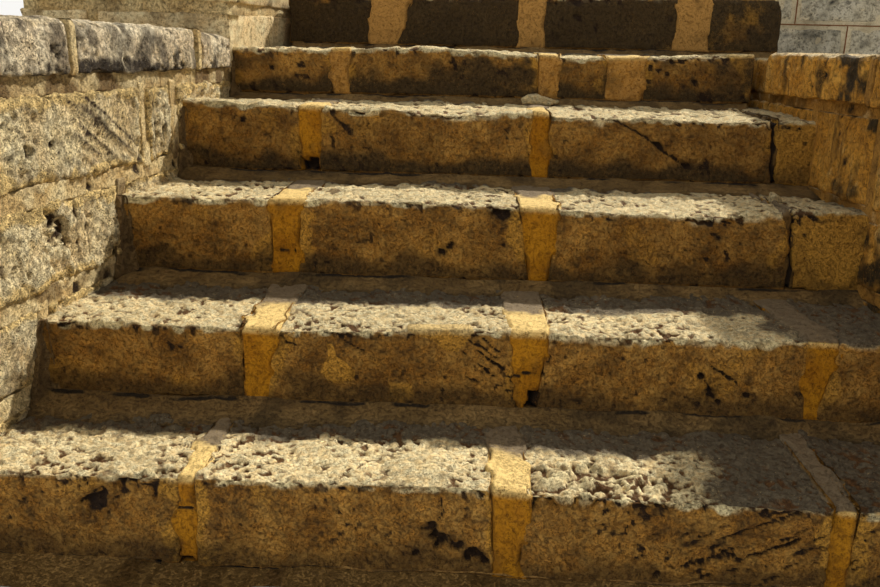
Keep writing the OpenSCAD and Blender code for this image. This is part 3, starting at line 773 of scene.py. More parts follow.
stepSettings = dict(
    meshStep=(0.0031, 0.0036, 0.0045, 0.0053, 0.0064, 0.0072),  # finer towards the camera
    nosingRadius=0.009, arrisRadius=0.006, endRounding=0.006, intoWall=0.018, bearing=0.06,
    # the pale tread colour reaches over the nosing and a little down the riser: a painted highlight along
    # the riser's top
    treadFrom=(-0.012, 0.003), wavy=((0.0035, 0.018), (0.006, 0.06)),
    wavyUp=((0.0035, 0.018), (0.005, 0.06)), ragged=((0.007, 0.013), (0.008, 0.06)),
    wornFade=0.03, wornReach=0.028, wornPull=1.6,
    # relief, in pairs for riser and tread
    swell=0.0028, swellSize=0.13, lump=(0.0026, 0.0042), lumpSize=0.04,
    grain=(0.0009, 0.0024), grainSize=(0.016, 4), crust=(0.0015, 0.0042), crustFrom=(0.46, 0.16),
    crustFade=0.28, crustSizes=((0.0105, 3.0), (0.0062, 1.9)), crustPatches=(0.75, 0.6, 0.07),
    pit=(0.0016, 0.0036), smallPits=(0.014, 0.3), largePits=(0.036, 0.08), largePit=1.2,
    dish=0.004, wear=0.0044, wearReach=0.02,
    uneven=0.8, unevenWaves=((0.7, 0.075), (0.6, 0.02)),
    darkPits=((0.2, 0.45), (0.25, 0.5), (0.5, 0.7)),  # how much painted shade, partly dirt, goes into small pits, large pits and crust gaps
    grime={1: 0.12, 2: 0.12, 3: 0.15, 4: 0.28, 5: 0.6, 6: 0.9},  # dark growth on the risers of each step
    footGrime={1: 0.45, 2: 0.48, 3: 0.52, 4: 0.62, 5: 0.7, 6: 0.6},  # and along their feet
    greyFrom={1: 0.36, 2: 0.52, 3: 0.75, 4: 0.9, 5: 0.9, 6: 0.9},  # x from which a painted shadow lies over the treads
    # share of the going where the painted shade at the back of the treads starts, partly dirt
    backFrom={1: 0.47, 2: 0.42, 3: 0.66, 4: 0.78, 5: 0.5, 6: 0.9},
    damp=0.45, backDark=(0.78, 0.15), shadedGrey=0.8, rust=0.42,
    pointing=0.6, smears=0.35,  # mortar smeared beside the joints, and here and there on the riser
    stoneTone=0.35, patchTone=0.55, leftTone=-0.3,  # lighter and darker stones and patches
    faced=(3, 4), facing=0.8, facedTone=(0.5, -0.8, 0.65), facedStain=(0.7, 0.15),  # ends under mortar
)
hidden = 9.0  # the distance given to points on hidden sides
stoneNames = ("left", "middle", "right", "end")


def stepBox(n):
    boxes = [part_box(f"step_{n}_{name}") for name in stoneNames]
    return boxes[0][0].y, boxes[0][1].y, boxes[0][0].z, boxes[0][1].z  # front, back, foot, top


def fromNosing(shape, n):  # minus down the riser, plus along the tread
    front, _, _, top = stepBox(n)
    points = shape["points"]
    seen = (shape["side"] >= 0) & (shape["side"] <= 1)
    return np.where(seen, (points[:, 1] - front) - (top - points[:, 2]), hidden)


def stepLoop(n, s, coarse=1.0):
    front, back, foot, top = stepBox(n)
    step = s["meshStep"][n - 1] * coarse
    going, rise = back - front - s["bearing"], top - foot
    onTop = chained((going * 0.45, step, step * 1.1), (going * 0.55, step * 1.2, step * 2.2),
                    (s["bearing"], 0.015, 0.02))
    onFront = chained((rise * 0.7, step * 1.5, step * 1.15), (rise * 0.3, step * 1.05, step))
    radii = (s["arrisRadius"], s["nosingRadius"], s["arrisRadius"], s["arrisRadius"])
    return roundedLoop(boxCorners(front, foot, back, top), radii, (onFront, onTop, 0.05, 0.08))


def planeX(plane, y, z):
    return plane[0] + plane[1] * y + plane[2] * z


def between(leftEnd, rightEnd, length):  # place for a profile in y and z that is swept from end to end
    def place(y, z, along):
        low, high = planeX(leftEnd, y, z), planeX(rightEnd, y, z)
        return np.column_stack([low + (high - low) * along / length, y, z])
    return place


def acrossFlight(n, intoWalls):  # left end, length and place of what runs across a whole step
    leftEnd, rightEnd = stepEnds[n, "left"][0].copy(), stepEnds[n, "end"][1].copy()
    leftEnd[0] -= intoWalls
    rightEnd[0] += intoWalls
    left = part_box(f"step_{n}_left")[0].x
    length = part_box(f"step_{n}_end")[1].x - left
    return left, length, between(leftEnd, rightEnd, length)


def groundOf(n):  # height of the tread in front of a riser
    return 0.0 if n == 1 else stepBox(n - 1)[3]


def lowerNosing(points, s, n):  # the nosing's own rise and fall along the step
    xs, rise = stepMarks[n]["nosing"]
    lift = np.interp(points[:, 0], xs, rise) * 0.001
    down = smooth(s, -0.09, -0.005) * (1 - smooth(s, 0.06, 0.26))
    points[:, 2] += lift * down


def rotated(a, b, degrees):  # distances across and along a slanting line
    turn = math.radians(degrees)
    return b * math.cos(turn) - a * math.sin(turn), a * math.cos(turn) + b * math.sin(turn)


def breakOut(surface, at, outline, depth):  # a broken nosing or a crumbled patch
    share, lumps = inPatch(at["x"], at["s"], outline), at["lumps"]
    surface["relief"] -= depth * share * (0.9 - 1.1 * lumps)
    surface["hollow"] += 0.8 * share * smooth(-lumps, 0.15, 0.7)
    pale = 0.45 * share * smooth(lumps, -0.3, 0.3) * smooth(at["along"], -0.03, -0.006)
    surface["fresh"] = np.maximum(surface["fresh"], pale)


def sinkHole(surface, at, x, s, halfWidth, halfHeight, depth):  # a ragged hole with a rusty ring, dark inside with painted shade, partly dirt
    inside = 1.15 - ((at["x"] - x) / halfWidth) ** 2 - ((at["s"] - s) / halfHeight) ** 2 + 0.9 * at["rough"]
    share = np.clip(inside, 0, 1)
    surface["relief"] -= depth * np.sqrt(share)
    surface["hollow"] += 0.9 * smooth(share, 0.05, 0.8)
    ring = smooth(inside + at["fading"], -2.6, 0.4) * at["onRiser"]
    surface["rusty"] = np.maximum(surface["rusty"], ring)


def scoreFace(surface, at, middle, halves, degrees, depth):  # slits that a tool has left in the riser
    dx, ds = at["x"] - middle[0], at["along"] - middle[1]
    across, down = rotated(dx, ds, degrees)
    slits = hollows(np.column_stack([4.5 * across, down, 0 * down]), 0.046, at["seed"] + 18, 0.55)
    share = smooth(1 - (dx / halves[0]) ** 2 - (ds / halves[1]) ** 2, 0, 0.5)
    gouge = smooth(slits, 0.15, 0.8) * share * at["onRiser"]
    surface["relief"] -= depth * gouge
    surface["hollow"] += min(0.6, 150 * depth) * gouge


def openCrack(surface, at, line, width, depth):
    near = np.exp(-(onLine(at["x"], at["s"], line) / (0.9 * width)) ** 2)
    share = near * smooth(at["fading"], -0.85, -0.1)
    surface["relief"] -= depth * share
    surface["hollow"] += 0.7 * smooth(share, 0.3, 0.9)


def patchOver(surface, at, outline, amount):  # mortar that covers a part of the face
    points = at["points"]
    x = points[:, 0] + (0.003 * cloud(points, 0.014, 71) + 0.006 * cloud(points, 0.045, 77))
    s = at["along"] + 0.006 * cloud(points, 0.04, 78)
    share = inPatch(x, s, outline, 0.002) * amount
    even = 0.0012 + 0.0005 * cloud(points, 0.03, 5)
    surface["relief"] = surface["relief"] * (1 - share) + share * even
    surface["smear"] = np.maximum(surface["smear"], share)
    surface["hollow"] *= 1 - share


# the cuts also darken their hollows: painted shade, partly dirt
stepCuts = {"broken": breakOut, "holes": sinkHole, "scored": scoreFace, "cracks": openCrack,
            "patches": patchOver}


def troddenDown(x, stretches, s):  # how deep the nosing is worn along the step
    worn, fade = np.zeros(len(x)), s["wornFade"]
    for start, stop, depth in stretches:
        share = depth * smooth(x, start - fade, start + fade) * (1 - smooth(x, stop - fade, stop + fade))
        worn = np.maximum(worn, share)
    return worn


def wearSurface(points, seed, step, pick, s):  # relief of the open stone, and the painted shade, partly dirt, in its hollows
    relief = s["swell"] * rubble(points, s["swellSize"], seed)
    relief += pick(s["lump"]) * rubble(points, s["lumpSize"], seed + 3)
    finest, steps = s["grainSize"]
    relief += pick(s["grain"]) * crumble(points, max(finest, steps * step), seed + 5)
    level, change, size = s["crustPatches"]
    patches = level + change * cloud(points, size, seed + 17)
    coarse, fine = (max(finest, steps * step) for finest, steps in s["crustSizes"])
    crust = cloud(turned(points, seed), coarse, seed + 5)
    crust += 0.65 * cloud(turned(points, seed + 1), fine, seed + 6)
    crustFrom = pick(s["crustFrom"])
    eaten = smooth(-crust, crustFrom, crustFrom + s["crustFade"]) * np.clip(patches, 0, 1.3)
    relief -= pick(s["crust"]) * eaten
    small = hollows(points, s["smallPits"][0], seed + 7, s["smallPits"][1])
    large = hollows(points, s["largePits"][0], seed + 8, s["largePits"][1])
    relief -= pick(s["pit"]) * (small + s["largePit"] * large)
    smallDark, largeDark, eatenDark = (pick(pair) for pair in s["darkPits"])
    hollow = smallDark * smooth(small, 0.3, 1.0) + largeDark * smooth(large, 0.25, 0.9)
    hollow += eatenDark * eaten
    return relief, hollow


def stepStain(points, x, along, going, tread, rusty, n, seed, s):  # dark growth, damp feet, and on the treads painted shade: at their backs, partly dirt, and a painted shadow at their right ends
    onRiser, seen = along < 0, along < hidden
    foot = (along - along[seen].min()) if seen.any() else along
    damp = (1 - smooth(foot + 0.02 * cloud(points, 0.05, 9), 0.002, 0.03)) * onRiser * s["damp"]
    # the back of each tread is darkened: painted shade where the riser above throws its shadow, partly dirt
    fromBack = s["backFrom"][n]
    back = smooth(along / going + 0.1 * cloud(points, 0.05, 8), fromBack, fromBack + 0.2)
    back *= (along > 0) * seen
    dark, change = s["backDark"]
    stain = np.maximum(damp, back * (dark + change * cloud(points, 0.03, 8)))
    growth = 0.35 + 0.65 * smooth(rubble(points, 0.1, seed + 16, 3), -0.5, 0.5)
    if n == 6:  # the left end of the top riser is all dark
        growth = np.maximum(growth, 0.85 * smooth(-points[:, 0], -0.62, -0.55))
    growth *= smooth(-along + 0.03 * rubble(points, 0.05, 23, 3) + 0.025 * (n == 6), 0.0, 0.03) * onRiser
    lowest = (1 - smooth(foot + 0.03 * rubble(points, 0.08, seed + 20), 0.01, 0.07)) * onRiser
    stain = np.maximum(stain, np.maximum(s["grime"][n] * growth, s["footGrime"][n] * lowest))
    # a painted shadow over the right end of each tread
    shaded = smooth(x + 0.05 * cloud(points, 0.08, 21), s["greyFrom"][n], s["greyFrom"][n] + 0.12)
    stain = np.maximum(stain, s["shadedGrey"] * shaded * tread)
    return np.maximum(stain, s["rust"] * rusty)


def wearStep(shape, n, seed, s):
    points, marks = shape["points"], stepMarks[n]
    along = fromNosing(shape, n)
    onRiser = along < 0
    x, wavy = waved(points[:, 0], points, s["wavy"], 71), waved(along, points, s["wavyUp"], 73)
    worn = troddenDown(x, marks.get("worn", []), s)
    boundary = waved(along, points, s["ragged"], 75) + s["wornPull"] * worn
    # the tread colour runs a little down the riser: painted highlight
    tread = smooth(boundary, *s["treadFrom"]) * (along < hidden)
    nearTread = np.maximum(tread, smooth(along, -0.03, -0.008) * 0.9)

    def pick(pair):  # from the riser's value to the tread's
        return pair[0] + (pair[1] - pair[0]) * nearTread

    relief, hollow = wearSurface(points, seed, s["meshStep"][n - 1], pick, s)
    relief -= worn * np.exp(-(along / s["wornReach"]) ** 2)
    band = np.exp(-((along + 0.004) / s["wearReach"]) ** 2)
    uneven = waved(s["uneven"], points, s["unevenWaves"], seed + 9)
    relief -= band * s["wear"] * np.clip(uneven, 0.1, 2.2)
    front, back, _, _ = stepBox(n)
    going = back - front - s["bearing"]
    relief -= s["dish"] * tread * np.clip(4 * (along / going) * (1 - along / going), 0, 1)
    fromEnd = np.minimum(shape["along"], shape["along"].max() - shape["along"])
    pointed = 1 - smooth(fromEnd + 0.035 * rubble(points, 0.05, seed + 21), 0.0, 0.03)
    smear = s["pointing"] * pointed * onRiser
    smear += s["smears"] * smooth(rubble(points, 0.09, seed + 22, 3), 0.35, 1.0) * onRiser
    surface = {"relief": relief, "hollow": hollow, "smear": smear,
               "fresh": smooth(band * uneven, 0.45, 1.0) * 0.7, "rusty": np.zeros(len(points))}
    at = {"points": points, "x": x, "s": wavy, "along": along, "onRiser": onRiser, "seed": seed,
          "rough": rubble(points, 0.012, seed + 14), "fading": cloud(points, 0.028, seed + 15),
          "lumps": crumble(points, 0.027, seed + 12) + 0.45 * crumble(points, 0.013, seed + 13)}
    for kind, cut in stepCuts.items():
        for values in marks.get(kind, []):
            cut(surface, at, *values)
    stoneTone = s["stoneTone"] * (hashCell(seed, n, 3, 5) * 2 - 1)
    shape["marks"] = {"tread": tread, "hollow": surface["hollow"], "fresh": surface["fresh"],
                      "smear": surface["smear"],
                      "stain": stepStain(points, x, along, going, tread, surface["rusty"], n, seed, s),
                      "tone": stoneTone + s["patchTone"] * rubble(points, 0.055, seed + 19, 3)}
    pushOut(shape, surface["relief"])
    lowerNosing(shape["points"], along, n)
    return shape


# loose stones that lie on a tread: (x, s), (length, depth, height), turn in degrees, lift off the tread
looseStones = {(3, "right"): [((0.689, 0.17), (0.042, 0.032, 0.018), 20, 0.0)],
               (4, "right"): [((0.166, 0.3), (0.104, 0.07, 0.022), -8, 0.006)]}
looseSettings = dict(
    outline=((-0.5, -0.3), (-0.36, 0.02), (-0.1, 0.5), (0.5, 0.1), (0.3, -0.28), (-0.05, -0.46)),
    sunk=0.006, step=0.004, capStep=0.005, corner=0.05, rounding=0.3,
    lump=(0.0032, 0.02), grain=(0.001, 0.01), ridgeReach=0.55, slope=0.65,
)


def looseStone(n, spot, size, degrees, lift, s=looseSettings):
    front, _, _, top = stepBox(n)
    corners = [(a * size[0], b * size[1]) for a, b in s["outline"]]
    loop = roundedLoop(corners, size[1] * s["corner"], (s["step"],) * 6)
    turn = math.radians(degrees)

    def place(a, b, along):
        return np.column_stack([spot[0] + a * math.cos(turn) - b * math.sin(turn),
                                front + spot[1] + a * math.sin(turn) + b * math.cos(turn),
                                top + lift - s["sunk"] + along])

    shape = sweep(loop, size[2] + s["sunk"], s["step"], size[2] * s["rounding"], place, (0, 1, 2),
                  s["capStep"])
    points = shape["points"]
    relief = lumpy(points, s, 60 + n, 61)
    pushOut(shape, relief)
    ridge = 1 - smooth(np.abs(points[:, 0] - spot[0] + 0.2 * size[0]), 0, s["ridgeReach"] * size[0])
    shape["points"][:, 2] -= (1 - ridge) * s["slope"] * np.maximum(points[:, 2] - top - lift, 0)
    # the loose stone darkens where its relief dips: painted shade
    shape["marks"] = {"tread": 1.0, "stain": 0.25, "hollow": 0.5 * smooth(-relief, 0.0005, 0.003)}
    return shape


stepEnds = {(n, name): [endPlane(f"step_{n}_{name}", sign) for sign in (-1, 1)]
            for n in range(1, 7) for name in stoneNames}


def buildStepStone(n, name, s):
    node = f"step_{n}_{name}"
    leftEnd, rightEnd = (end.copy() for end in stepEnds[n, name])
    if name == "left":
        leftEnd[0] -= s["intoWall"]
    if name == "end":
        rightEnd[0] += s["intoWall"]
    low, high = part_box(node)
    length = high.x - low.x
    place = between(leftEnd, rightEnd, length)
    shape = sweep(stepLoop(n, s), length, s["meshStep"][n - 1], s["endRounding"], place, (1, 2, 0))
    wearStep(shape, n, 10 * n + stoneNames.index(name), s)
    marks = shape["marks"]
    if name == "end" and n in s["faced"]:
        patch = smooth(marks["smear"], 0.75, 0.95)
        share, base, onPatch = s["facedTone"]
        stained, least = s["facedStain"]
        marks["smear"] = np.maximum(marks["smear"], s["facing"] * (1 - marks["tread"]))
        marks["tone"] = share * marks["tone"] + base + onPatch * patch
        marks["stain"] = np.maximum(stained * marks["stain"], least) * (1 - 0.5 * patch)
    if name == "left" and n > 1:
        marks["tone"] = marks["tone"] + s["leftTone"]
    loose = [looseStone(n, *stone) for stone in looseStones.get((n, name), [])]
    return makePiece(f"stepStone_{n}_{name}", [shape] + loose, stepStone, [node])


for n in range(1, 7):
    for name in stoneNames:
        buildStepStone(n, name, stepSettings)
print("step stones built:", sum(triangleCount.values()), "triangles")


# head joints between the stones of a step, with the bed under it
jointSettings = dict(
    overlap=0.014, rowStep=(0.0034, 1.4), finest=3, coarse=1.5, rounding=0.002,
    sunk=-0.0008, dive=0.011, wavy=((0.016, 0.042), (0.006, 0.014)), wavyMost=0.01,
    lump=(0.0014, 0.03), combed=(0.0005, (0.008, 0.05, 0.05)), pit=(0.0028, 0.015, 0.3),
    nosingWear=0.0025, nosingReach=0.012,
    # joints that are broken out at the foot: (step, joint): height of the gap over the foot
    openFoot={(1, 0): 0.03, (2, 1): 0.022, (4, 0): 0.035}, openDepth=0.03,
    # cracks beside the mortar: -1 on its left edge, 1 on its right
    cracks={(1, 0): -1, (1, 1): -1, (1, 2): 1, (2, 0): -1, (2, 1): 1, (2, 2): 1, (3, 0): -1, (3, 1): -1,
            (4, 0): -1, (4, 1): 1, (5, 0): 1, (5, 1): -1},
    # level cracks across the mortar: height from the nosing down
    across={(2, 1): -0.081, (1, 0): -0.055, (3, 0): -0.11}, acrossWidth=0.0026, acrossDepth=0.004,
    gaps=((3, 2), (4, 2)), gapDepth=0.016, gapStain=0.85,  # joints that are mostly open, with painted shade inside, partly dirt
    # on the treads the joints darken towards the back, painted shade partly dirt, and joint C takes the
    # painted shadow of the right ends
    backFrom=(0.3, 0.6), backStain=0.9, greyJoint=2, greyStain=0.95, dirt=0.38,
    smear={5: 0.5, 6: 0.85},
    bedSunk=0.006, bedInWall=0.01, bedStep=0.03, bedStain=0.8, thinnestBed=0.002,
)


def buildJoint(n, index, s):
    leftEnd = stepEnds[n, stoneNames[index]][1].copy()
    rightEnd = stepEnds[n, stoneNames[index + 1]][0].copy()
    front, back, foot, top = stepBox(n)
    middle = 0.5 * (leftEnd + rightEnd)
    half = 0.5 * (rightEnd - leftEnd)
    width = 2 * (half[0] + half[1] * front + half[2] * (foot + top) / 2)
    leftEnd[0] -= s["overlap"]
    rightEnd[0] += s["overlap"]
    length = width + 2 * s["overlap"]
    rowStep, coarser = s["rowStep"]
    loop = stepLoop(n, stepSettings, s["coarse"])
    shape = sweep(loop, length, rowStep * (1 if n <= s["finest"] else coarser), s["rounding"],
                  between(leftEnd, rightEnd, length), (1, 2, 0))
    points = shape["points"]
    fromMiddle = points[:, 0] - planeX(middle, points[:, 1], points[:, 2])
    halfHere = planeX(half, points[:, 1], points[:, 2])
    along = fromNosing(shape, n)
    (low, lowSize), (high, highSize) = s["wavy"]
    wavy = low * cloud(points, lowSize, 31 + 5 * n + index) + high * cloud(points, highSize, 32)
    wavy = np.clip(wavy, -s["wavyMost"], s["wavyMost"])
    crackSide = s["cracks"].get((n, index), 0)
    cracked = smooth(np.sign(fromMiddle) * crackSide, 0.2, 0.8)
    cracked *= smooth(cloud(points, 0.05, 36), -0.35, 0.3)
    outside = np.abs(fromMiddle) - halfHere + wavy * (1 - cracked) - 0.003 + 0.004 * cracked
    relief = -s["sunk"] - s["dive"] * smooth(outside, 0.0, 0.009 - 0.006 * cracked)
    (lump, lumpSize), (comb, combSize), (pit, pitSize, pitShare) = s["lump"], s["combed"], s["pit"]
    relief += lump * cloud(points, lumpSize, 33) + comb * cloud(points, combSize, 34)
    nosing = np.exp(-((along + 0.003) / s["nosingReach"]) ** 2)
    relief -= s["nosingWear"] * nosing * (1 + cloud(points, 0.02, 35))
    relief -= pit * hollows(points, pitSize, 40 + n, pitShare) * smooth(along, -0.05, 0.0)
    # where the joint dives under the stone on its crack side it darkens: painted shade in the groove, partly
    # dirt
    hollow = 0.5 * cracked * smooth(outside, 0.0, 0.003)
    if (n, index) in s["across"]:
        line = np.exp(-((along - s["across"][n, index] + wavy) / s["acrossWidth"]) ** 2)
        relief -= s["acrossDepth"] * line
        hollow += 0.9 * line
    if (n, index) in s["openFoot"]:
        height, upTo = points[:, 2] - foot + 2 * wavy, s["openFoot"][n, index]
        opened = (1 - smooth(height, upTo - 0.006, upTo)) * (along < 0)
        relief -= s["openDepth"] * opened
        hollow += opened
    if (n, index) in s["gaps"]:
        offLine = np.abs(fromMiddle + 0.01 * cloud(points, 0.045, 37))
        opened = 1 - smooth(offLine, 0.0035 + 0.002 * cloud(points, 0.02, 38), 0.0085)
        relief -= s["gapDepth"] * opened
        hollow += opened
    pushOut(shape, relief)
    lowerNosing(shape["points"], along, n)
    tread = smooth(along, -0.008, 0.01) * (along < hidden)
    going = back - front - stepSettings["bearing"]
    # painted shade at the back of the joint's tread part, partly dirt, and over joint C the painted shadow
    stain = smooth(along / going + 0.1 * cloud(points, 0.04, 39), *s["backFrom"]) * tread * s["backStain"]
    stain = np.maximum(stain, s["greyStain"] * tread * (index == s["greyJoint"]) * (n <= s["finest"]))
    dirt = smooth(rubble(points, 0.045, 38 + n, 3), -0.3, 1.0) + 0.7 * smooth(outside, -0.007, 0.001)
    stain = np.maximum(stain, s["dirt"] * np.clip(dirt, 0, 1) * (1 - tread))
    if (n, index) in s["gaps"]:
        stain = np.maximum(stain, s["gapStain"])
    shape["marks"] = {"tread": tread, "hollow": hollow, "fresh": 0.5 * nosing, "stain": stain,
                      "smear": s["smear"].get(n, 0.0) * (1 - tread)}
    return shape


def buildBed(n, s):
    front, back, foot, _ = stepBox(n)
    ground = groundOf(n)
    if foot - ground < s["thinnestBed"]:
        return []
    corners = boxCorners(front + s["bedSunk"], ground + 0.0005, back, foot + 0.004)
    loop = roundedLoop(corners, s["rounding"], (0.006, 0.08, 0.02, 0.08))
    _, length, place = acrossFlight(n, s["bedInWall"])
    shape = sweep(loop, length, s["bedStep"], s["rounding"], place, (1, 2, 0))
    shape["marks"] = {"stain": s["bedStain"]}
    return [shape]


for n in range(1, 7):
    shapes = [buildJoint(n, index, jointSettings) for index in range(3)] + buildBed(n, jointSettings)
    makePiece(f"stepMortar_{n}", shapes, jointMortar, [f"step_{n}_mortar"])
print("step mortar built:", sum(triangleCount.values()), "triangles")


# mortar fillets at the foot of each riser, and the haunches in the corner of the left wall
filletSettings = dict(
    rowStep=0.009, faceStep=0.006, inWall=0.008, toeSunk=0.009, sag=0.75,
    # reach over the tread at the left end, the middle and the right end, and the height on the riser
    reach={1: (0.107, 0.06, 0.055), 2: (0.11, 0.068, 0.052), 3: (0.09, 0.07, 0.066),
           4: (0.075, 0.088, 0.1), 5: (0.07, 0.06, 0.055), 6: (0.06, 0.055, 0.055)},
    height={1: 0.012, 2: 0.02, 3: 0.017, 4: 0.017, 5: 0.015, 6: 0.014},
    reachWaves=((0.16, 0.11), (0.08, 0.03)), riseWaves=(0.3, 0.08),  # share, length along the step
    lump=(0.003, 0.04), grain=(0.002, 0.018),
    recess={1: (-0.53, -0.27)},  # a stretch where the fillet has come away from the riser
    stain=0.6, firstStain=0.15, smear=0.2, firstSmear=1.0,
)


leftPlan = planOf(np.concatenate(cadSolids("left_wall_upper_stones")))
rightPlan = planOf(np.concatenate(cadSolids("right_wall_upper_stones")))


def buildFillet(n, s):
    front, _, foot, _ = stepBox(n)
    ground = groundOf(n)
    reach, height = max(s["reach"][n]), s["height"][n]
    toe = ground - (s["toeSunk"] if n > 1 else 0)
    loop = roundedLoop([(front - reach, toe), (front - 0.002, ground + height),
                        (front + 0.02, ground + height * 0.8), (front + 0.02, toe)],
                       (0.0015, 0.004, 0.002, 0.002), (s["faceStep"], 0.02, 0.03, 0.05))
    left, length, place = acrossFlight(n, s["inWall"])
    shape = sweep(loop, length, s["rowStep"], 0.003, place, (1, 2, 0))
    points = shape["points"]
    (broad, broadSize), (fine, fineSize) = s["reachWaves"]
    share = np.interp((points[:, 0] - left) / length, (0, 0.5, 1), s["reach"][n]) / reach
    share *= 1 + broad * cloud(points, (broadSize, 1, 1), n) + fine * cloud(points, (fineSize, 1, 1), n + 3)
    points[:, 1] = np.where(points[:, 1] < front, front + (points[:, 1] - front) * share, points[:, 1])
    out = np.clip((front - points[:, 1]) / (reach * share), 0, 1)
    rise = points[:, 2] - ground
    rise -= height * s["sag"] * out * (1 - out) * (rise > 0.002)
    rise *= 1 + s["riseWaves"][0] * cloud(points, (s["riseWaves"][1], 1, 1), n + 6)
    relief = lumpy(points, s, 41, 42)
    away = np.zeros(len(points))
    if n in s["recess"]:
        start, stop = s["recess"][n]
        away = smooth(points[:, 0], start, start + 0.03) * (1 - smooth(points[:, 0], stop - 0.03, stop))
        rise *= 1 - 0.7 * away * (1 - smooth(out, 0.25, 0.45))
    points[:, 2] = np.maximum(ground + rise + relief * (shape["side"] == 0), 0.0)
    streak = smooth(rubble(points, 0.07, 43, 3), -0.1, 0.8)
    crack = np.exp(-((out - 0.06) / 0.05) ** 2) * smooth(cloud(points, (0.06, 1, 1), 44), -0.3, 0.2)
    # the crack near the riser and the recess where the fillet has come away are darkened: painted shade,
    # partly dirt
    hollow = np.maximum(0.9 * crack, away * (1 - smooth(out, 0.2, 0.4)))
    shape["marks"] = {"stain": (s["stain"] if n > 1 else s["firstStain"]) * streak, "hollow": hollow,
                      "tread": 0.3 * out, "smear": s["firstSmear"] if n == 1 else s["smear"]}
    return shape


haunchSettings = dict(
    onRiser=0.018, onWall=0.036, step=0.007, inGround=0.004, rounding=0.012, corner=0.003,
    steps={2: (1.0, 0.004), 3: (0.95, 0.002), 4: (0.8, 0.01), 5: (0.55, 0.04)},  # size, gap to the top
    spread=((0.75, 0.9), (0.6, 1.5)),  # width and depth at the top, and what the foot adds to them
    sweptIn=0.008, lump=(0.005, 0.04), grain=(0.0016, 0.014), stain=(0.85, 0.15),
)


def buildHaunch(n, s):
    front, _, foot, top = stepBox(n)
    ground = groundOf(n)
    size, gap = s["steps"][n]
    x = faceLine(leftPlan, "right")(front) if n < 5 else stepEnds[n, "left"][0] @ (1, front, top)
    reach, deep = s["onRiser"] * size, s["onWall"] * size
    corners = [(x - 0.012, front - deep), (x - 0.02, front + 0.02), (x + reach, front + 0.015),
               (x + reach, front - 0.001)]
    loop = roundedLoop(corners, s["corner"], (0.03, 0.03, 0.012, s["step"]))
    length = top - ground - gap + s["inGround"]
    (width, widthAdded), (depth, depthAdded) = s["spread"]

    def place(a, b, along):
        low = np.clip(1 - along / length, 0, 1)
        wide, far = width + widthAdded * low ** 2, depth + depthAdded * low ** 2
        return np.column_stack([np.where(a > x, x + (a - x) * wide, a),
                                np.where(b < front, front + (b - front) * far, b),
                                ground - s["inGround"] + along])

    shape = sweep(loop, length, s["step"], s["rounding"], place, (0, 1, 2))
    points = shape["points"]
    across = np.clip((points[:, 0] - x) / (reach * 1.25), 0, 1)
    relief = -s["sweptIn"] * size * 4 * across * (1 - across) * (shape["side"] == 3)
    relief += lumpy(points, s, 45 + n, 46)
    pushOut(shape, relief)
    streak = smooth(cloud(points, (0.02, 0.02, 0.1), 47), 0.0, 0.6)
    # the haunch darkens where its surface dips: painted shade
    shape["marks"] = {"stain": s["stain"][0] + s["stain"][1] * streak,
                      "hollow": 0.3 * smooth(-relief, 0.0, 0.006)}
    return shape


fillets = [buildFillet(n, filletSettings) for n in range(1, 7)]
haunches = [buildHaunch(n, haunchSettings) for n in haunchSettings["steps"]]
makePiece("footFillets", fillets, filletMortar, ["foot_fillets"])
print("fillets built:", sum(triangleCount.values()), "triangles")


# wall stones, swept upwards from their plan
def wallStone(plan, steps, rowStep, s):
    # steps: left, back, right and front face
    (y0, y1), (z0, z1) = plan["y"], plan["z"]
    corners = [(plan["left"][0], y0), (plan["left"][1], y1), (plan["right"][1], y1), (plan["right"][0], y0)]
    loop = roundedLoop(corners, s["corner"], steps)
    return sweep(loop, z1 - z0, rowStep, s["arris"], upFrom(z0), (0, 1, 2))


def copingStoneShape(plan, steps, rowStep, s):
    # swept along y; steps: left, top, right and bottom face
    (y0, y1), (z0, z1) = plan["y"], plan["z"]
    corners = boxCorners(0, z0, plan["right"][0] - plan["left"][0], z1)
    loop = roundedLoop(corners, [s["corner"] * share for share in (0.4, 1.0, 1.0, 0.4)], steps)

    place = backFrom(y0, faceLine(plan, "left"))
    return sweep(loop, y1 - y0, rowStep, s["arris"], place, (0, 2, 1), s["capStep"])


def sinkInto(at, y, z, radius, depth):
    points, seed = at["points"], at["seed"]
    wobble = 1 + 0.45 * cloud(points, 0.012, seed + 7)
    away = ((points[:, 1] - y) ** 2 + (points[:, 2] - z) ** 2) / (radius * wobble) ** 2
    share = np.clip(1.0 - away, 0, 1) * at["inner"]
    at["relief"] -= depth * np.sqrt(share)
    at["hollow"] += 0.75 * smooth(share, 0.2, 0.9)


def comb(at, middle, halves, degrees, depth):  # long slanting tool marks
    points = at["points"]
    dy, dz = points[:, 1] - middle[0], points[:, 2] - middle[1]
    across, down = rotated(dy, dz, degrees)
    share = smooth(1 - (dy / halves[0]) ** 2 - (dz / halves[1]) ** 2, 0, 0.5) * at["inner"]
    lines = cloud(np.column_stack([across, down, 0 * down]), (0.0125, 0.16, 1), at["seed"] + 8)
    at["relief"] = at["relief"] * (1 - 0.5 * share) - depth * share * (0.5 + 0.5 * lines)
    at["hollow"] += 0.5 * share * smooth(-lines, 0.1, 0.8)


def groove(at, start, stop, width, depth):
    points = at["points"]
    wobble = 0.003 * cloud(points, 0.03, at["seed"] + 8)
    share = np.exp(-(onLine(points[:, 1], points[:, 2] + wobble, [start, stop]) / width) ** 2) * at["inner"]
    at["relief"] -= depth * share
    at["hollow"] += 0.45 * smooth(share, 0.4, 0.9)


# holes, tool marks and grooves also darken: painted shade, partly dirt
wallCuts = {"hole": sinkInto, "scored": comb, "groove": groove}


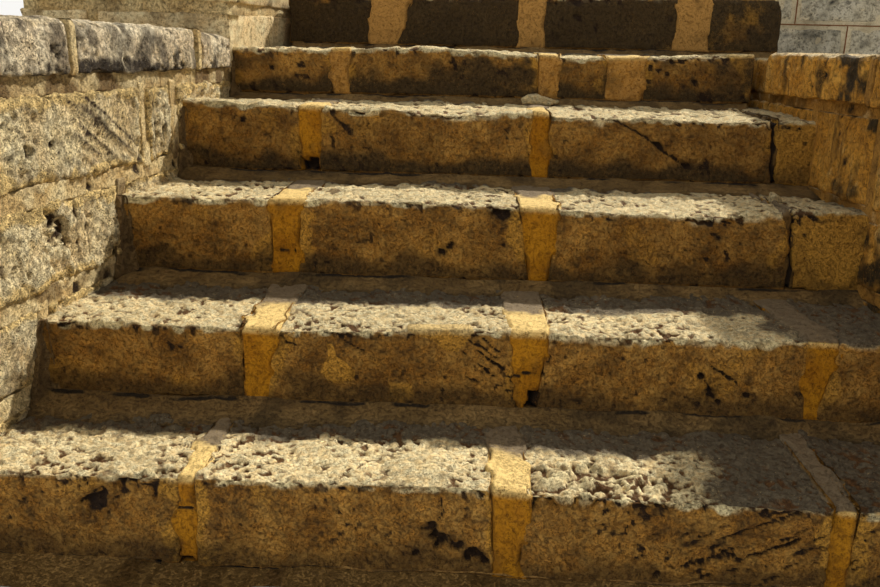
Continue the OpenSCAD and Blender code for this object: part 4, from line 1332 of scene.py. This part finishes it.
def weatherStone(shape, seed, s, features=()):
    # features on the inner face: ("hole", y, z, radius, depth), ("groove", (y, z), (y, z), width, depth),
    # ("scored", middle, half sizes, degrees, depth), and ("growth", y, z, half length, half height, amount)
    points = shape["points"]
    relief = s["swell"] * rubble(points, s["swellSize"], seed)
    relief += s["lump"] * (rubble(points, 0.035, seed + 1) + 0.6 * crumble(points, 0.02, seed + 11))
    creases = crumble(points, s["grainSize"], seed + 2)
    relief += s["grain"] * creases
    small = hollows(points, s["pitSize"], seed + 3, s["pitShare"])
    large = hollows(points, s["pitSize"] * 2.6, seed + 4, s["pitShare"] * 0.4)
    relief -= s["pit"] * (small + 1.4 * large)
    # pits, creases and ridges are darkened: painted shade, partly dirt
    hollow = 0.5 * smooth(small, 0.35, 1.0) + 0.5 * smooth(large, 0.3, 0.9)
    hollow += 0.25 * smooth(-creases, 0.35, 0.66)
    shadeAndDirtInCreases = smooth(-creases, 0.15, 0.6) + smooth(large, 0.1, 0.7)
    if s["ridge"]:
        ridges = cloud(points, s["ridgeSize"], seed + 5)
        relief -= s["ridge"] * (0.5 + 0.5 * ridges)
        hollow += 0.25 * smooth(-ridges, 0.2, 0.8)
        shadeAndDirtInCreases += smooth(-ridges, 0.1, 0.7)
    worn = np.exp(-(shape["edge"] / s["edgeReach"]) ** 2) * (0.7 + 0.6 * cloud(points, 0.04, seed + 6))
    relief -= s["edgeWear"] * np.clip(worn, 0, 2)
    at = {"points": points, "seed": seed, "inner": shape["side"] == s["innerSide"], "relief": relief,
          "hollow": hollow}
    for kind, *values in features:
        if kind in wallCuts:
            wallCuts[kind](at, *values)
    relief = np.clip(at["relief"] - s["back"], -s["deepest"], s["proud"])
    veil = points * (1, 1, s["veil"])
    lichen = smooth(rubble(veil, s["lichenSize"], seed + 9, 3), s["lichenFrom"], s["lichenFrom"] + 0.8)
    stain = np.maximum(lichen * s["lichen"], s["creaseDirt"] * np.clip(shadeAndDirtInCreases, 0, 1))
    for kind, *values in features:
        if kind == "growth":
            y, z, halfLength, halfHeight, amount = values
            inside = 1 - ((points[:, 1] - y) / halfLength) ** 2 - ((points[:, 2] - z) / halfHeight) ** 2
            grown = smooth(inside + rubble(points, 0.035, seed + 13, 3), -0.3, 1.2)
            stain = np.maximum(stain, amount * grown)
    if s["drips"]:
        runs = smooth(rubble(points * (1, 1, 0.16), 0.022, seed + 14), 0.0, 0.9)
        stain = np.maximum(stain, s["drips"] * runs)
    margin = np.exp(-(shape["edge"] / s["margin"]) ** 2) if s["margin"] else worn
    smeared = smooth(margin + 0.45 * rubble(points, 0.05, seed + 10), 0.3, 1.0)
    stoneTone = 0.35 * (hashCell(seed, 7, 3, 5) * 2 - 1)
    shape["marks"] = {"hollow": at["hollow"], "stain": stain, "tread": s["pale"] * sunny(shape),
                      "smear": s["smear"] * smeared,
                      "fresh": 0.45 * smooth(relief, -0.003, 0.001),
                      "tone": stoneTone + 0.5 * rubble(points, 0.06, seed + 12, 3)}
    pushOut(shape, relief)
    return shape


def sunny(shape):  # the top and the outer side of the right wall, which take the stone's pale colour; the inner faces keep the painted shade of the darker colours
    across, _, up = (shape["normals"][:, axis] for axis in range(3))
    return np.maximum(smooth(across + 0.3 * cloud(shape["points"], 0.05, 24), 0.1, 0.6),
                      smooth(up + 0.3 * cloud(shape["points"], 0.03, 25), 0.4, 0.9))


def ribbonBed(wall, y0, y1, z0, z1, s):
    # a level joint, a little wider than the gap it fills
    over, sunk = s["overlap"], s["sunk"]
    loop = roundedLoop(boxCorners(sunk, z0 - over, wall["width"] - sunk, z1 + over), s["corner"], s["steps"])
    return sweep(loop, y1 - y0, s["rowStep"], s["rounding"], backFrom(y0, wall["x"]), (0, 2, 1))


def ribbonHead(wall, y0, y1, z0, z1, s):
    over, sunk, width = s["overlap"], s["sunk"], wall["width"]
    low, high = wall["x"](y0), wall["x"](y1)
    corners = [(low + sunk, y0 - over), (high + sunk, y1 + over), (high + width - sunk, y1 + over),
               (low + width - sunk, y0 - over)]
    loop = roundedLoop(corners, s["corner"], s["steps"])
    return sweep(loop, z1 - z0 + 2 * over, s["rowStep"], s["rounding"], upFrom(z0 - over), (0, 1, 2))


def workMortar(shape, seed, s):
    points = shape["points"]
    relief = s["rough"] * rubble(points, 0.03, seed) + 0.4 * s["rough"] * cloud(points, 0.009, seed + 2)
    relief += s["swell"] * cloud(points, 0.11, seed + 3)
    cracks = hollows(points, 0.05, seed + 4, 0.12)
    relief = np.minimum(relief - s["crack"] * smooth(cracks, 0.3, 1), s["proud"])
    pushOut(shape, relief)
    stain = s["dirt"] + smooth(rubble(points, 0.07, seed + 5), 0.1, 0.7) * s["stain"]
    # the cracks are darkened: painted shade, partly dirt
    shape["marks"] = {"hollow": 0.8 * smooth(cracks, 0.3, 0.9), "stain": stain,
                      "fresh": 0.5 * smooth(relief, 0.0, 0.002), "tread": s["pale"] * sunny(shape)}
    return shape


def courseGaps(plans):
    # the level joints and head joints between the stones of a wall
    courses = {}
    for plan in plans:
        courses.setdefault(round(plan["z"][0], 3), []).append(plan)
    levels = sorted(courses)
    beds = [(courses[low][0]["z"][1], courses[high][0]["z"][0]) for low, high in zip(levels, levels[1:])]
    heads = []
    for level in levels:
        row = sorted(courses[level], key=lambda plan: plan["y"][0])
        heads += [(a["y"][1], b["y"][0], a["z"][0], a["z"][1]) for a, b in zip(row, row[1:])]
    return beds, heads


plainStone = dict(  # what a stone of a wall has unless its own settings say otherwise
    ridge=0, margin=0, veil=1.0, lichenSize=0.07, creaseDirt=0, drips=0, pale=0,
    deepest=1.0, back=0.002, proud=0.0, innerSide=9, features=(),
)
leftWallSettings = dict(
    plainStone, corner=0.013, arris=0.011, swell=0.0035, swellSize=0.14, lump=0.0044, grain=0.0032,
    grainSize=0.0115, pit=0.0055, pitSize=0.017, pitShare=0.26, edgeReach=0.012, edgeWear=0.0035,
    proud=0.003, lichen=0.35, lichenFrom=0.15, creaseDirt=0.3, smear=0.95, margin=0.03, innerSide=2)
leftFeatures = {
    "big": [("hole", 0.311, 0.634, 0.013, 0.014), ("hole", 0.389, 0.641, 0.012, 0.013),
            ("groove", (0.52, 0.725), (0.735, 0.6), 0.0035, 0.006),
            ("groove", (0.45, 0.72), (0.6, 0.635), 0.003, 0.003),
            ("scored", (0.53, 0.66), (0.23, 0.09), -31, 0.0056)],
    "pit": [("hole", 0.385, 0.479, 0.026, 0.014), ("hole", 0.4, 0.452, 0.016, 0.012),
            ("hole", 0.36, 0.5, 0.018, 0.012),
            ("groove", (0.44, 0.53), (0.44, 0.4), 0.005, 0.004),
            ("groove", (0.48, 0.53), (0.482, 0.41), 0.004, 0.003)],
    "narrow": [("groove", (0.8, 0.73), (0.8, 0.57), 0.007, 0.006),
               ("groove", (0.84, 0.73), (0.845, 0.57), 0.005, 0.004)],
}


def toFrame(features):  # the features' y is measured from riser 1
    def moved(value):
        return (value[0] + firstRiser, value[1])

    placed = []
    for kind, first, second, *rest in features:
        if kind in ("hole", "growth"):
            placed.append((kind, first + firstRiser, second, *rest))
        elif kind == "scored":
            placed.append((kind, moved(first), second, *rest))
        else:
            placed.append((kind, moved(first), moved(second), *rest))
    return placed


wallSteps = {"front": 0.009, "hiddenFront": 0.04, "back": 0.05}


def buildWall(side, nodes, material, s, steps, featured):
    # steps for each course from the ground: (inner face, outer face, row)
    plansByNode = {node: plansOf(node) for node in nodes}
    plans = [plan for group in plansByNode.values() for plan in group]
    levels = sorted({round(plan["z"][0], 3) for plan in plans})
    frontMost = min(plan["y"][0] for plan in plans)
    for node, group in plansByNode.items():
        shapes = []
        for number, plan in enumerate(group):
            innerStep, outerStep, rowStep = steps[levels.index(round(plan["z"][0], 3))]
            left, right = (outerStep, innerStep) if side == "left" else (innerStep, outerStep)
            front = wallSteps["front" if plan["y"][0] < frontMost + 0.001 else "hiddenFront"]
            shape = wallStone(plan, (left, wallSteps["back"], right, front), rowStep, s)
            middle = ((plan["y"][0] + plan["y"][1]) / 2 - firstRiser, (plan["z"][0] + plan["z"][1]) / 2)
            found = [key for key, place in featured.items() if math.dist(place, middle) < 0.06]
            features = leftFeatures[found[0]] if found else s["features"]
            seed = 100 + 7 * number + 31 * nodes.index(node) + (0 if side == "left" else 300)
            shapes.append(weatherStone(shape, seed, s, toFrame(features)))
        makePiece(pieceName(node), shapes, material, [node])
    return plans


leftPlans = buildWall("left", ["left_wall_lower_stones", "left_wall_upper_stones"], flankStone,
                      leftWallSettings,
                      [(0.012, 0.024, 0.012), (0.008, 0.024, 0.01)] + [(0.005, 0.022, 0.0055)] * 2,
                      {"big": (0.473, 0.651), "pit": (0.385, 0.454), "narrow": (0.833, 0.651)})
rightWallSettings = dict(
    plainStone, corner=0.01, arris=0.009, swell=0.0028, swellSize=0.16, lump=0.0024, grain=0.0016,
    grainSize=0.018, pit=0.003, pitSize=0.018, pitShare=0.18, edgeReach=0.012, edgeWear=0.003, ridge=0.002,
    ridgeSize=(0.016, 0.016, 0.1), drips=0.45, pale=1.0, proud=0.003, lichen=0.5, lichenFrom=0.5, smear=0.3,
    innerSide=0, features=[("growth", 0.65, 0.715, 0.06, 0.045, 0.8),
                           ("growth", 0.745, 0.545, 0.07, 0.025, 0.6),
                           ("growth", 0.6, 0.4, 0.5, 0.12, 0.65)])
rightPlans = buildWall("right", ["right_wall_lower_stones", "right_wall_upper_stones"], rightStone,
                       rightWallSettings,
                       [(0.013, 0.024, 0.014)] * 2 + [(0.009, 0.022, 0.011)] * 2, {})
print("flank walls built:", sum(triangleCount.values()), "triangles")


def wallLine(plan):
    return {"x": faceLine(plan, "left"), "width": plan["right"][0] - plan["left"][0]}


plainMortar = dict(corner=0.002, rounding=0.003, crack=0.006, proud=0.003, dirt=0, pale=0)
leftMortarSettings = dict(
    plainMortar, overlap=0.007, sunk=0.006, rowStep=0.008, steps=(0.02, 0.09, 0.006, 0.09), rough=0.0022,
    swell=0.002, stain=0.5)
# the bed under the left coping is sunk deeper and darker: painted shade under the coping, partly dirt
topBedSettings = dict(leftMortarSettings, sunk=0.01, stain=0.35, dirt=0.3, rough=0.0026)
rightMortarSettings = dict(
    plainMortar, overlap=0.006, sunk=0.006, rowStep=0.012, steps=(0.009, 0.09, 0.02, 0.09), rough=0.0014,
    swell=0.0012, stain=0.4, pale=1.0)


def buildWallMortar(plans, whole, topBed, s, topSettings):
    wall = wallLine(whole)
    beds, heads = courseGaps(plans)
    y0, y1 = whole["y"][0] + 0.006, whole["y"][1] - 0.002
    shapes = [workMortar(ribbonBed(wall, y0, y1, *bed, s), number, s) for number, bed in enumerate(beds)]
    shapes.append(workMortar(ribbonBed(wall, y0, y1, *topBed, topSettings), len(beds), topSettings))
    shapes += [workMortar(ribbonHead(wall, *head, s), 20 + number, s) for number, head in enumerate(heads)]
    return shapes


# copings of the flank walls, with the mortar between them
leftCopingSettings = dict(
    plainStone, corner=0.024, arris=0.014, swell=0.004, swellSize=0.12, lump=0.0022, grain=0.0016,
    grainSize=0.012, pit=0.0046, pitSize=0.013, pitShare=0.42, edgeReach=0.018, edgeWear=0.004,
    capStep=0.018, ridge=0.0022, ridgeSize=(0.02, 0.013, 0.08), veil=0.5, lichenSize=0.05, creaseDirt=0.2,
    back=0.003, lichen=0.5, lichenFrom=0.0, smear=0.3, innerSide=2)
rightCopingSettings = dict(
    plainStone, corner=0.014, arris=0.01, swell=0.003, swellSize=0.14, lump=0.003, grain=0.0018,
    grainSize=0.016, pit=0.004, pitSize=0.018, pitShare=0.2, edgeReach=0.015, edgeWear=0.003, capStep=0.014,
    ridge=0.003, ridgeSize=(0.02, 0.013, 0.09), veil=0.4, drips=0.55, pale=1.0, lichen=0.5, lichenFrom=0.4,
    smear=0.3, innerSide=0)
leftCopingMarks = toFrame([("hole", 0.541, 0.866, 0.02, 0.018), ("hole", 0.65, 0.865, 0.017, 0.016),
                           ("growth", 0.6, 0.774, 0.42, 0.036, 0.7), ("growth", 0.52, 0.85, 0.1, 0.06, 0.48),
                           ("growth", 0.66, 0.84, 0.07, 0.05, 0.42)])
rightCopingMarks = toFrame([("growth", 0.8, 0.835, 0.045, 0.035, 0.75),
                            ("growth", 0.735, 0.79, 0.085, 0.055, 0.75)])


copingMoves = dict(start=0.002, stop=0.006, settled=0.012)  # the joints between the left stones are thin


def buildCoping(side, node, material, s, steps, rowStep, features):
    shapes = []
    plans = plansOf(node)
    if side == "left":
        for plan in plans:
            plan["y"] = (plan["y"][0] + copingMoves["start"], plan["y"][1] + copingMoves["stop"])
    rearMost = max(plan["y"][1] for plan in plans)
    for number, plan in enumerate(plans):
        shape = copingStoneShape(plan, steps, rowStep, s)
        weatherStone(shape, 500 + 13 * number + (0 if side == "left" else 90), s, features)
        if side == "left" and plan["y"][1] == rearMost:  # the last stone lies lower
            points = shape["points"]
            points[:, 2] -= copingMoves["settled"] * smooth(points[:, 2], plan["z"][0], plan["z"][1])
        shapes.append(shape)
    makePiece(pieceName(node), shapes, material, [node])
    return plans


leftCoping = buildCoping("left", "left_coping", copingStone, leftCopingSettings,
                         (0.016, 0.011, 0.0055, 0.05), 0.0058, leftCopingMarks)
rightCoping = buildCoping("right", "right_coping", rightStone, rightCopingSettings,
                          (0.008, 0.015, 0.022, 0.03), 0.01, rightCopingMarks)


copingJointSettings = dict(inset=0.0035, into=0.001, rounding=0.012, capStep=0.02)


def copingJoints(plans, worked, s=copingJointSettings):
    shapes = []
    row = sorted(plans, key=lambda plan: plan["y"][0])
    for number, (a, b) in enumerate(zip(row, row[1:])):
        if b["z"][1] < a["z"][1] - 0.002:
            continue
        y0, y1, (z0, z1), inset = a["y"][1] - s["into"], b["y"][0] + s["into"], a["z"], s["inset"]
        corners = [(a["left"][1] + inset, y0), (b["left"][0] + inset, y1), (b["right"][0] - inset, y1),
                   (a["right"][1] - inset, y0)]
        loop = roundedLoop(corners, worked["corner"], worked["steps"])
        shape = sweep(loop, z1 - z0 - inset, worked["rowStep"], s["rounding"], upFrom(z0), (0, 1, 2),
                      s["capStep"])
        shapes.append(workMortar(shape, 60 + number, dict(worked, proud=0.001, stain=0.25)))
    return shapes


leftTopBed = (leftPlan["z"][1], leftCoping[0]["z"][0])
rightTopBed = (rightPlan["z"][1], rightCoping[0]["z"][0])
leftMortar = buildWallMortar(leftPlans, leftPlan, leftTopBed, leftMortarSettings, topBedSettings)
leftMortar += copingJoints(leftCoping, leftMortarSettings) + haunches
makePiece("LeftWallMortar", leftMortar, wallMortar, ["left_wall_mortar"])
rightMortar = buildWallMortar(rightPlans, rightPlan, rightTopBed, rightMortarSettings, rightMortarSettings)
rightMortar += copingJoints(rightCoping, rightMortarSettings)
makePiece("RightWallMortar", rightMortar, rightMortarMaterial, ["right_wall_mortar"])
print("copings and wall mortar built:", sum(triangleCount.values()), "triangles")


# terrace walls: coursed stones round a mortar heart
terraceSettings = dict(
    plainStone, corner=0.01, arris=0.008, swell=0.003, swellSize=0.16, lump=0.003, grain=0.0018,
    grainSize=0.045, pit=0.004, pitSize=0.04, pitShare=0.1, edgeReach=0.014, edgeWear=0.003, ridge=0.003,
    ridgeSize=(0.05, 0.03, 0.16), deepest=0.0085, lichen=0.38, lichenFrom=0.05, smear=0.2, veil=0.6)
ashlarSettings = dict(
    plainStone, corner=0.006, arris=0.005, swell=0.001, swellSize=0.16, lump=0.0008, grain=0.001,
    grainSize=0.028, pit=0.0014, pitSize=0.036, pitShare=0.3, edgeReach=0.01, edgeWear=0.0014, back=0.001,
    lichen=0.5, lichenFrom=0.4, smear=0.9)
hiddenStep = 0.07  # for the faces that other stones cover


def buildTerraceStones(node, material, s, shownStep, rowStep):
    plans = plansOf(node)
    low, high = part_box(node)
    shapes = []
    for number, plan in enumerate(plans):
        shown = (plan["left"][0] < low.x + 0.001, plan["y"][1] > high.y - 0.001,
                 plan["right"][1] > high.x - 0.001, plan["y"][0] < low.y + 0.001)
        shape = wallStone(plan, [shownStep if face else hiddenStep for face in shown], rowStep, s)
        shapes.append(weatherStone(shape, 700 + 5 * number, s))
    makePiece(pieceName(node), shapes, material, [node])
    return plans


lineSettings = dict(behind=0.0008, inside=0.009, half=0.0016, corner=0.0004, rounding=0.001,
                    face=0.002, side=0.01, step=0.05, short=0.002, over=0.008, dark=0.9)


def struckLines(front, y0, s):
    # the thin brown line along the middle of each joint of a front face
    face, inside, half = y0 + s["behind"], y0 + s["inside"], s["half"]
    left, right = min(p["left"][0] for p in front), max(p["right"][0] for p in front)
    levels = sorted({p["z"] for p in front})
    shapes = []
    for (_, low), (high, _) in zip(levels, levels[1:]):
        z = (low + high) / 2
        loop = roundedLoop(boxCorners(face, z - half, inside, z + half), s["corner"],
                           (s["face"], s["side"]) * 2)
        shapes.append(sweep(loop, right - left - 2 * s["short"], s["step"], s["rounding"],
                            rightFrom(left + s["short"]), (1, 2, 0)))
    for level in levels:
        row = sorted((p for p in front if p["z"] == level), key=lambda plan: plan["left"][0])
        for first, second in zip(row, row[1:]):
            x = (first["right"][0] + second["left"][0]) / 2
            loop = roundedLoop(boxCorners(x - half, face, x + half, inside), s["corner"],
                               (s["side"], s["face"]) * 2)
            shapes.append(sweep(loop, level[1] - level[0] + 2 * s["over"], s["step"], s["rounding"],
                                upFrom(level[0] - s["over"]), (0, 1, 2)))
    for shape in shapes:
        shape["marks"] = {"hollow": s["dark"]}
    return shapes


def buildHeart(node, plans, material, sunk, step, s, lined=False):
    # one block a little inside the stones' faces
    y0, y1 = min(p["y"][0] for p in plans), max(p["y"][1] for p in plans)
    z0, z1 = min(p["z"][0] for p in plans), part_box(node)[1].z
    front = [p for p in plans if p["y"][0] < y0 + 0.001]
    left, right = min(p["left"][0] for p in front), max(p["right"][0] for p in front)
    turnY = max(p["y"][1] for p in front)
    bend = max(p["right"][1] for p in plans)
    corners = [(left + sunk, y0 + sunk), (left + sunk, y1 - sunk), (bend - sunk, y1 - sunk),
               (bend - sunk, turnY), (right - sunk, y0 + sunk)]
    if abs(bend - right) < 0.001:
        corners.pop(3)
    loop = roundedLoop(corners, s["corner"], (step,) * len(corners))
    shape = sweep(loop, z1 - z0, step, s["rounding"], upFrom(z0), (0, 1, 2))
    workMortar(shape, 80, s)
    lines = struckLines(front, y0, lineSettings) if lined else []
    makePiece(pieceName(node), [shape] + lines, material, [node])


terraceLeftPlans = buildTerraceStones("terrace_left_stones", terraceStone, terraceSettings,
                                      0.021, 0.02)
terraceRightPlans = buildTerraceStones("terrace_right_stones", ashlarStone, ashlarSettings,
                                       0.02, 0.019)
heartSettings = dict(plainMortar, corner=0.004, rounding=0.004, rough=0.0012, swell=0.001, proud=0.0015,
                     stain=0.4)
buildHeart("terrace_left_mortar", terraceLeftPlans, wallMortar, 0.0105, 0.035, heartSettings)
buildHeart("terrace_right_mortar", terraceRightPlans, ashlarMortar, 0.003, 0.03,
           heartSettings, True)
terraceCopingSettings = dict(
    leftCopingSettings, corner=0.02, grainSize=0.04, pitSize=0.036, pitShare=0.25, lichen=0.55,
    lichenSize=0.09, ridge=0, creaseDirt=0.15, innerSide=9, veil=1.0, steps=(0.018, 0.016, 0.018, 0.04),
    rowStep=0.016, rounding=0.016, capStep=0.03)


def buildTerraceCoping(node, s):
    # swept along y, with the bend of the right side
    solid = cadSolids(node)[0]
    low, high = solid.min(0), solid.max(0)
    ys = sorted(set(np.round(solid[:, 1], 4)))
    rights = [solid[np.abs(solid[:, 1] - y) < 1e-3, 0].max() for y in ys]
    width = high[0] - low[0]
    loop = roundedLoop(boxCorners(0, low[2], width, high[2]), s["corner"], s["steps"])

    def place(a, b, along):
        right = np.interp(low[1] + along, ys, rights)
        return np.column_stack([low[0] + a * (right - low[0]) / width, low[1] + along, b])

    shape = sweep(loop, high[1] - low[1], s["rowStep"], s["rounding"], place, (0, 2, 1), s["capStep"])
    weatherStone(shape, 900 + len(node), s)
    makePiece(pieceName(node), [shape], copingStone, [node])


buildTerraceCoping("terrace_left_coping", terraceCopingSettings)
buildTerraceCoping("terrace_right_coping", terraceCopingSettings)

backSettings = dict(
    courses=6, joint=0.014, lengths=((0.42, 0.36, 0.4), (0.22, 0.44, 0.38)), shortest=0.02,
    depth=0.09, step=0.025, around=(0.05, 0.025, 0.05, 0.2),
    slabSunk=0.0105, slabCorner=0.002, slabAround=(0.05, 0.025, 0.05, 0.3), slabStep=0.03,
    slabCap=0.05, slabShort=0.002,
)


def buildBackWall(s):
    low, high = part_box("back_wall")
    course = (high.z - low.z + s["joint"]) / s["courses"]
    shapes = []
    for row in range(s["courses"]):
        x = low.x
        lengths = itertools.chain(s["lengths"][row % 2], itertools.repeat(9.0))
        while x < high.x - s["shortest"]:
            stop = min(x + next(lengths), high.x)
            z0 = low.z + row * course
            plan = {"y": (high.y - s["depth"], high.y), "z": (z0, z0 + course - s["joint"]),
                    "left": (x, x), "right": (stop, stop)}
            shape = wallStone(plan, s["around"], s["step"], terraceSettings)
            shapes.append(weatherStone(shape, 800 + len(shapes) * 3, terraceSettings))
            x = stop + s["joint"]
    corners = boxCorners(low.x, low.y, high.x, high.y - s["slabSunk"])
    loop = roundedLoop(corners, s["slabCorner"], s["slabAround"])
    slab = sweep(loop, high.z - low.z - s["slabShort"], s["slabStep"], heartSettings["rounding"],
                 upFrom(low.z), (0, 1, 2), s["slabCap"])
    workMortar(slab, 90, heartSettings)
    makePiece("BackWall", shapes, terraceStone, ["back_wall"])
    makePiece("BackWallMortar", [slab], wallMortar, ["back_wall"])


buildBackWall(backSettings)
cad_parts["core"].data.materials.clear()
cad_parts["core"].data.materials.append(coreFill)
print("terraces and back built:", sum(triangleCount.values()), "triangles")

# stage: pale floor, pale surroundings, one wide key light from behind on the right
stageSettings = dict(
    floorSize=14.0, floorColour=(212, 209, 203), worldColour=(250, 248, 244), worldStrength=0.38,
    keyTowards=(0.5, 0.58, 0.7), keyStrength=4.4, keyAngle=3.0, keyColour=(1.0, 0.97, 0.915),
    fillTowards=(-0.35, -0.75, 0.56), fillStrength=0.45, fillAngle=40.0,
)


def addSun(name, towards, strength, angle, colour):
    light = bpy.data.lights.new(name, "SUN")
    light.energy = strength
    light.angle = math.radians(angle)
    light.color = colour
    lamp = bpy.data.objects.new(name, light)
    lamp.rotation_euler = Vector(towards).to_track_quat("Z", "Y").to_euler()
    bpy.context.scene.collection.objects.link(lamp)


def addStage(s):
    half = s["floorSize"] / 2
    mesh = bpy.data.meshes.new("floor")
    mesh.from_pydata([(-half, -half, 0), (half, -half, 0), (half, half, 0), (-half, half, 0)], [],
                     [(0, 1, 2, 3)])
    floor = bpy.data.objects.new("floor", mesh)
    bpy.context.scene.collection.objects.link(floor)
    material = bpy.data.materials.new("paleFloor")
    material.use_nodes = True
    material.node_tree.nodes["Principled BSDF"].inputs["Base Color"].default_value = rgb(*s["floorColour"])
    material.node_tree.nodes["Principled BSDF"].inputs["Roughness"].default_value = 0.9
    mesh.materials.append(material)
    world = bpy.data.worlds.new("paleWorld")
    world.use_nodes = True
    bpy.context.scene.world = world
    tree = world.node_tree
    background = tree.nodes["Background"]
    background.inputs["Color"].default_value = rgb(*s["worldColour"])
    rays = addNode(tree, "ShaderNodeLightPath").outputs
    seen = maths(tree, "ADD", rays["Is Camera Ray"], rays["Is Glossy Ray"])
    seen = maths(tree, "ADD", seen, rays["Is Transmission Ray"], clamp=True)
    feed(tree, spread(tree, seen, 0.0, 1.0, s["worldStrength"], 1.0), background.inputs["Strength"])
    addSun("keyLight", s["keyTowards"], s["keyStrength"], s["keyAngle"], s["keyColour"])
    addSun("fillLight", s["fillTowards"], s["fillStrength"], s["fillAngle"], (1.0, 1.0, 1.0))


addStage(stageSettings)
bpy.context.scene.view_settings.view_transform = "Standard"
print("triangles in all:", sum(triangleCount.values()), "largest:",
      max(triangleCount.items(), key=lambda item: item[1]))
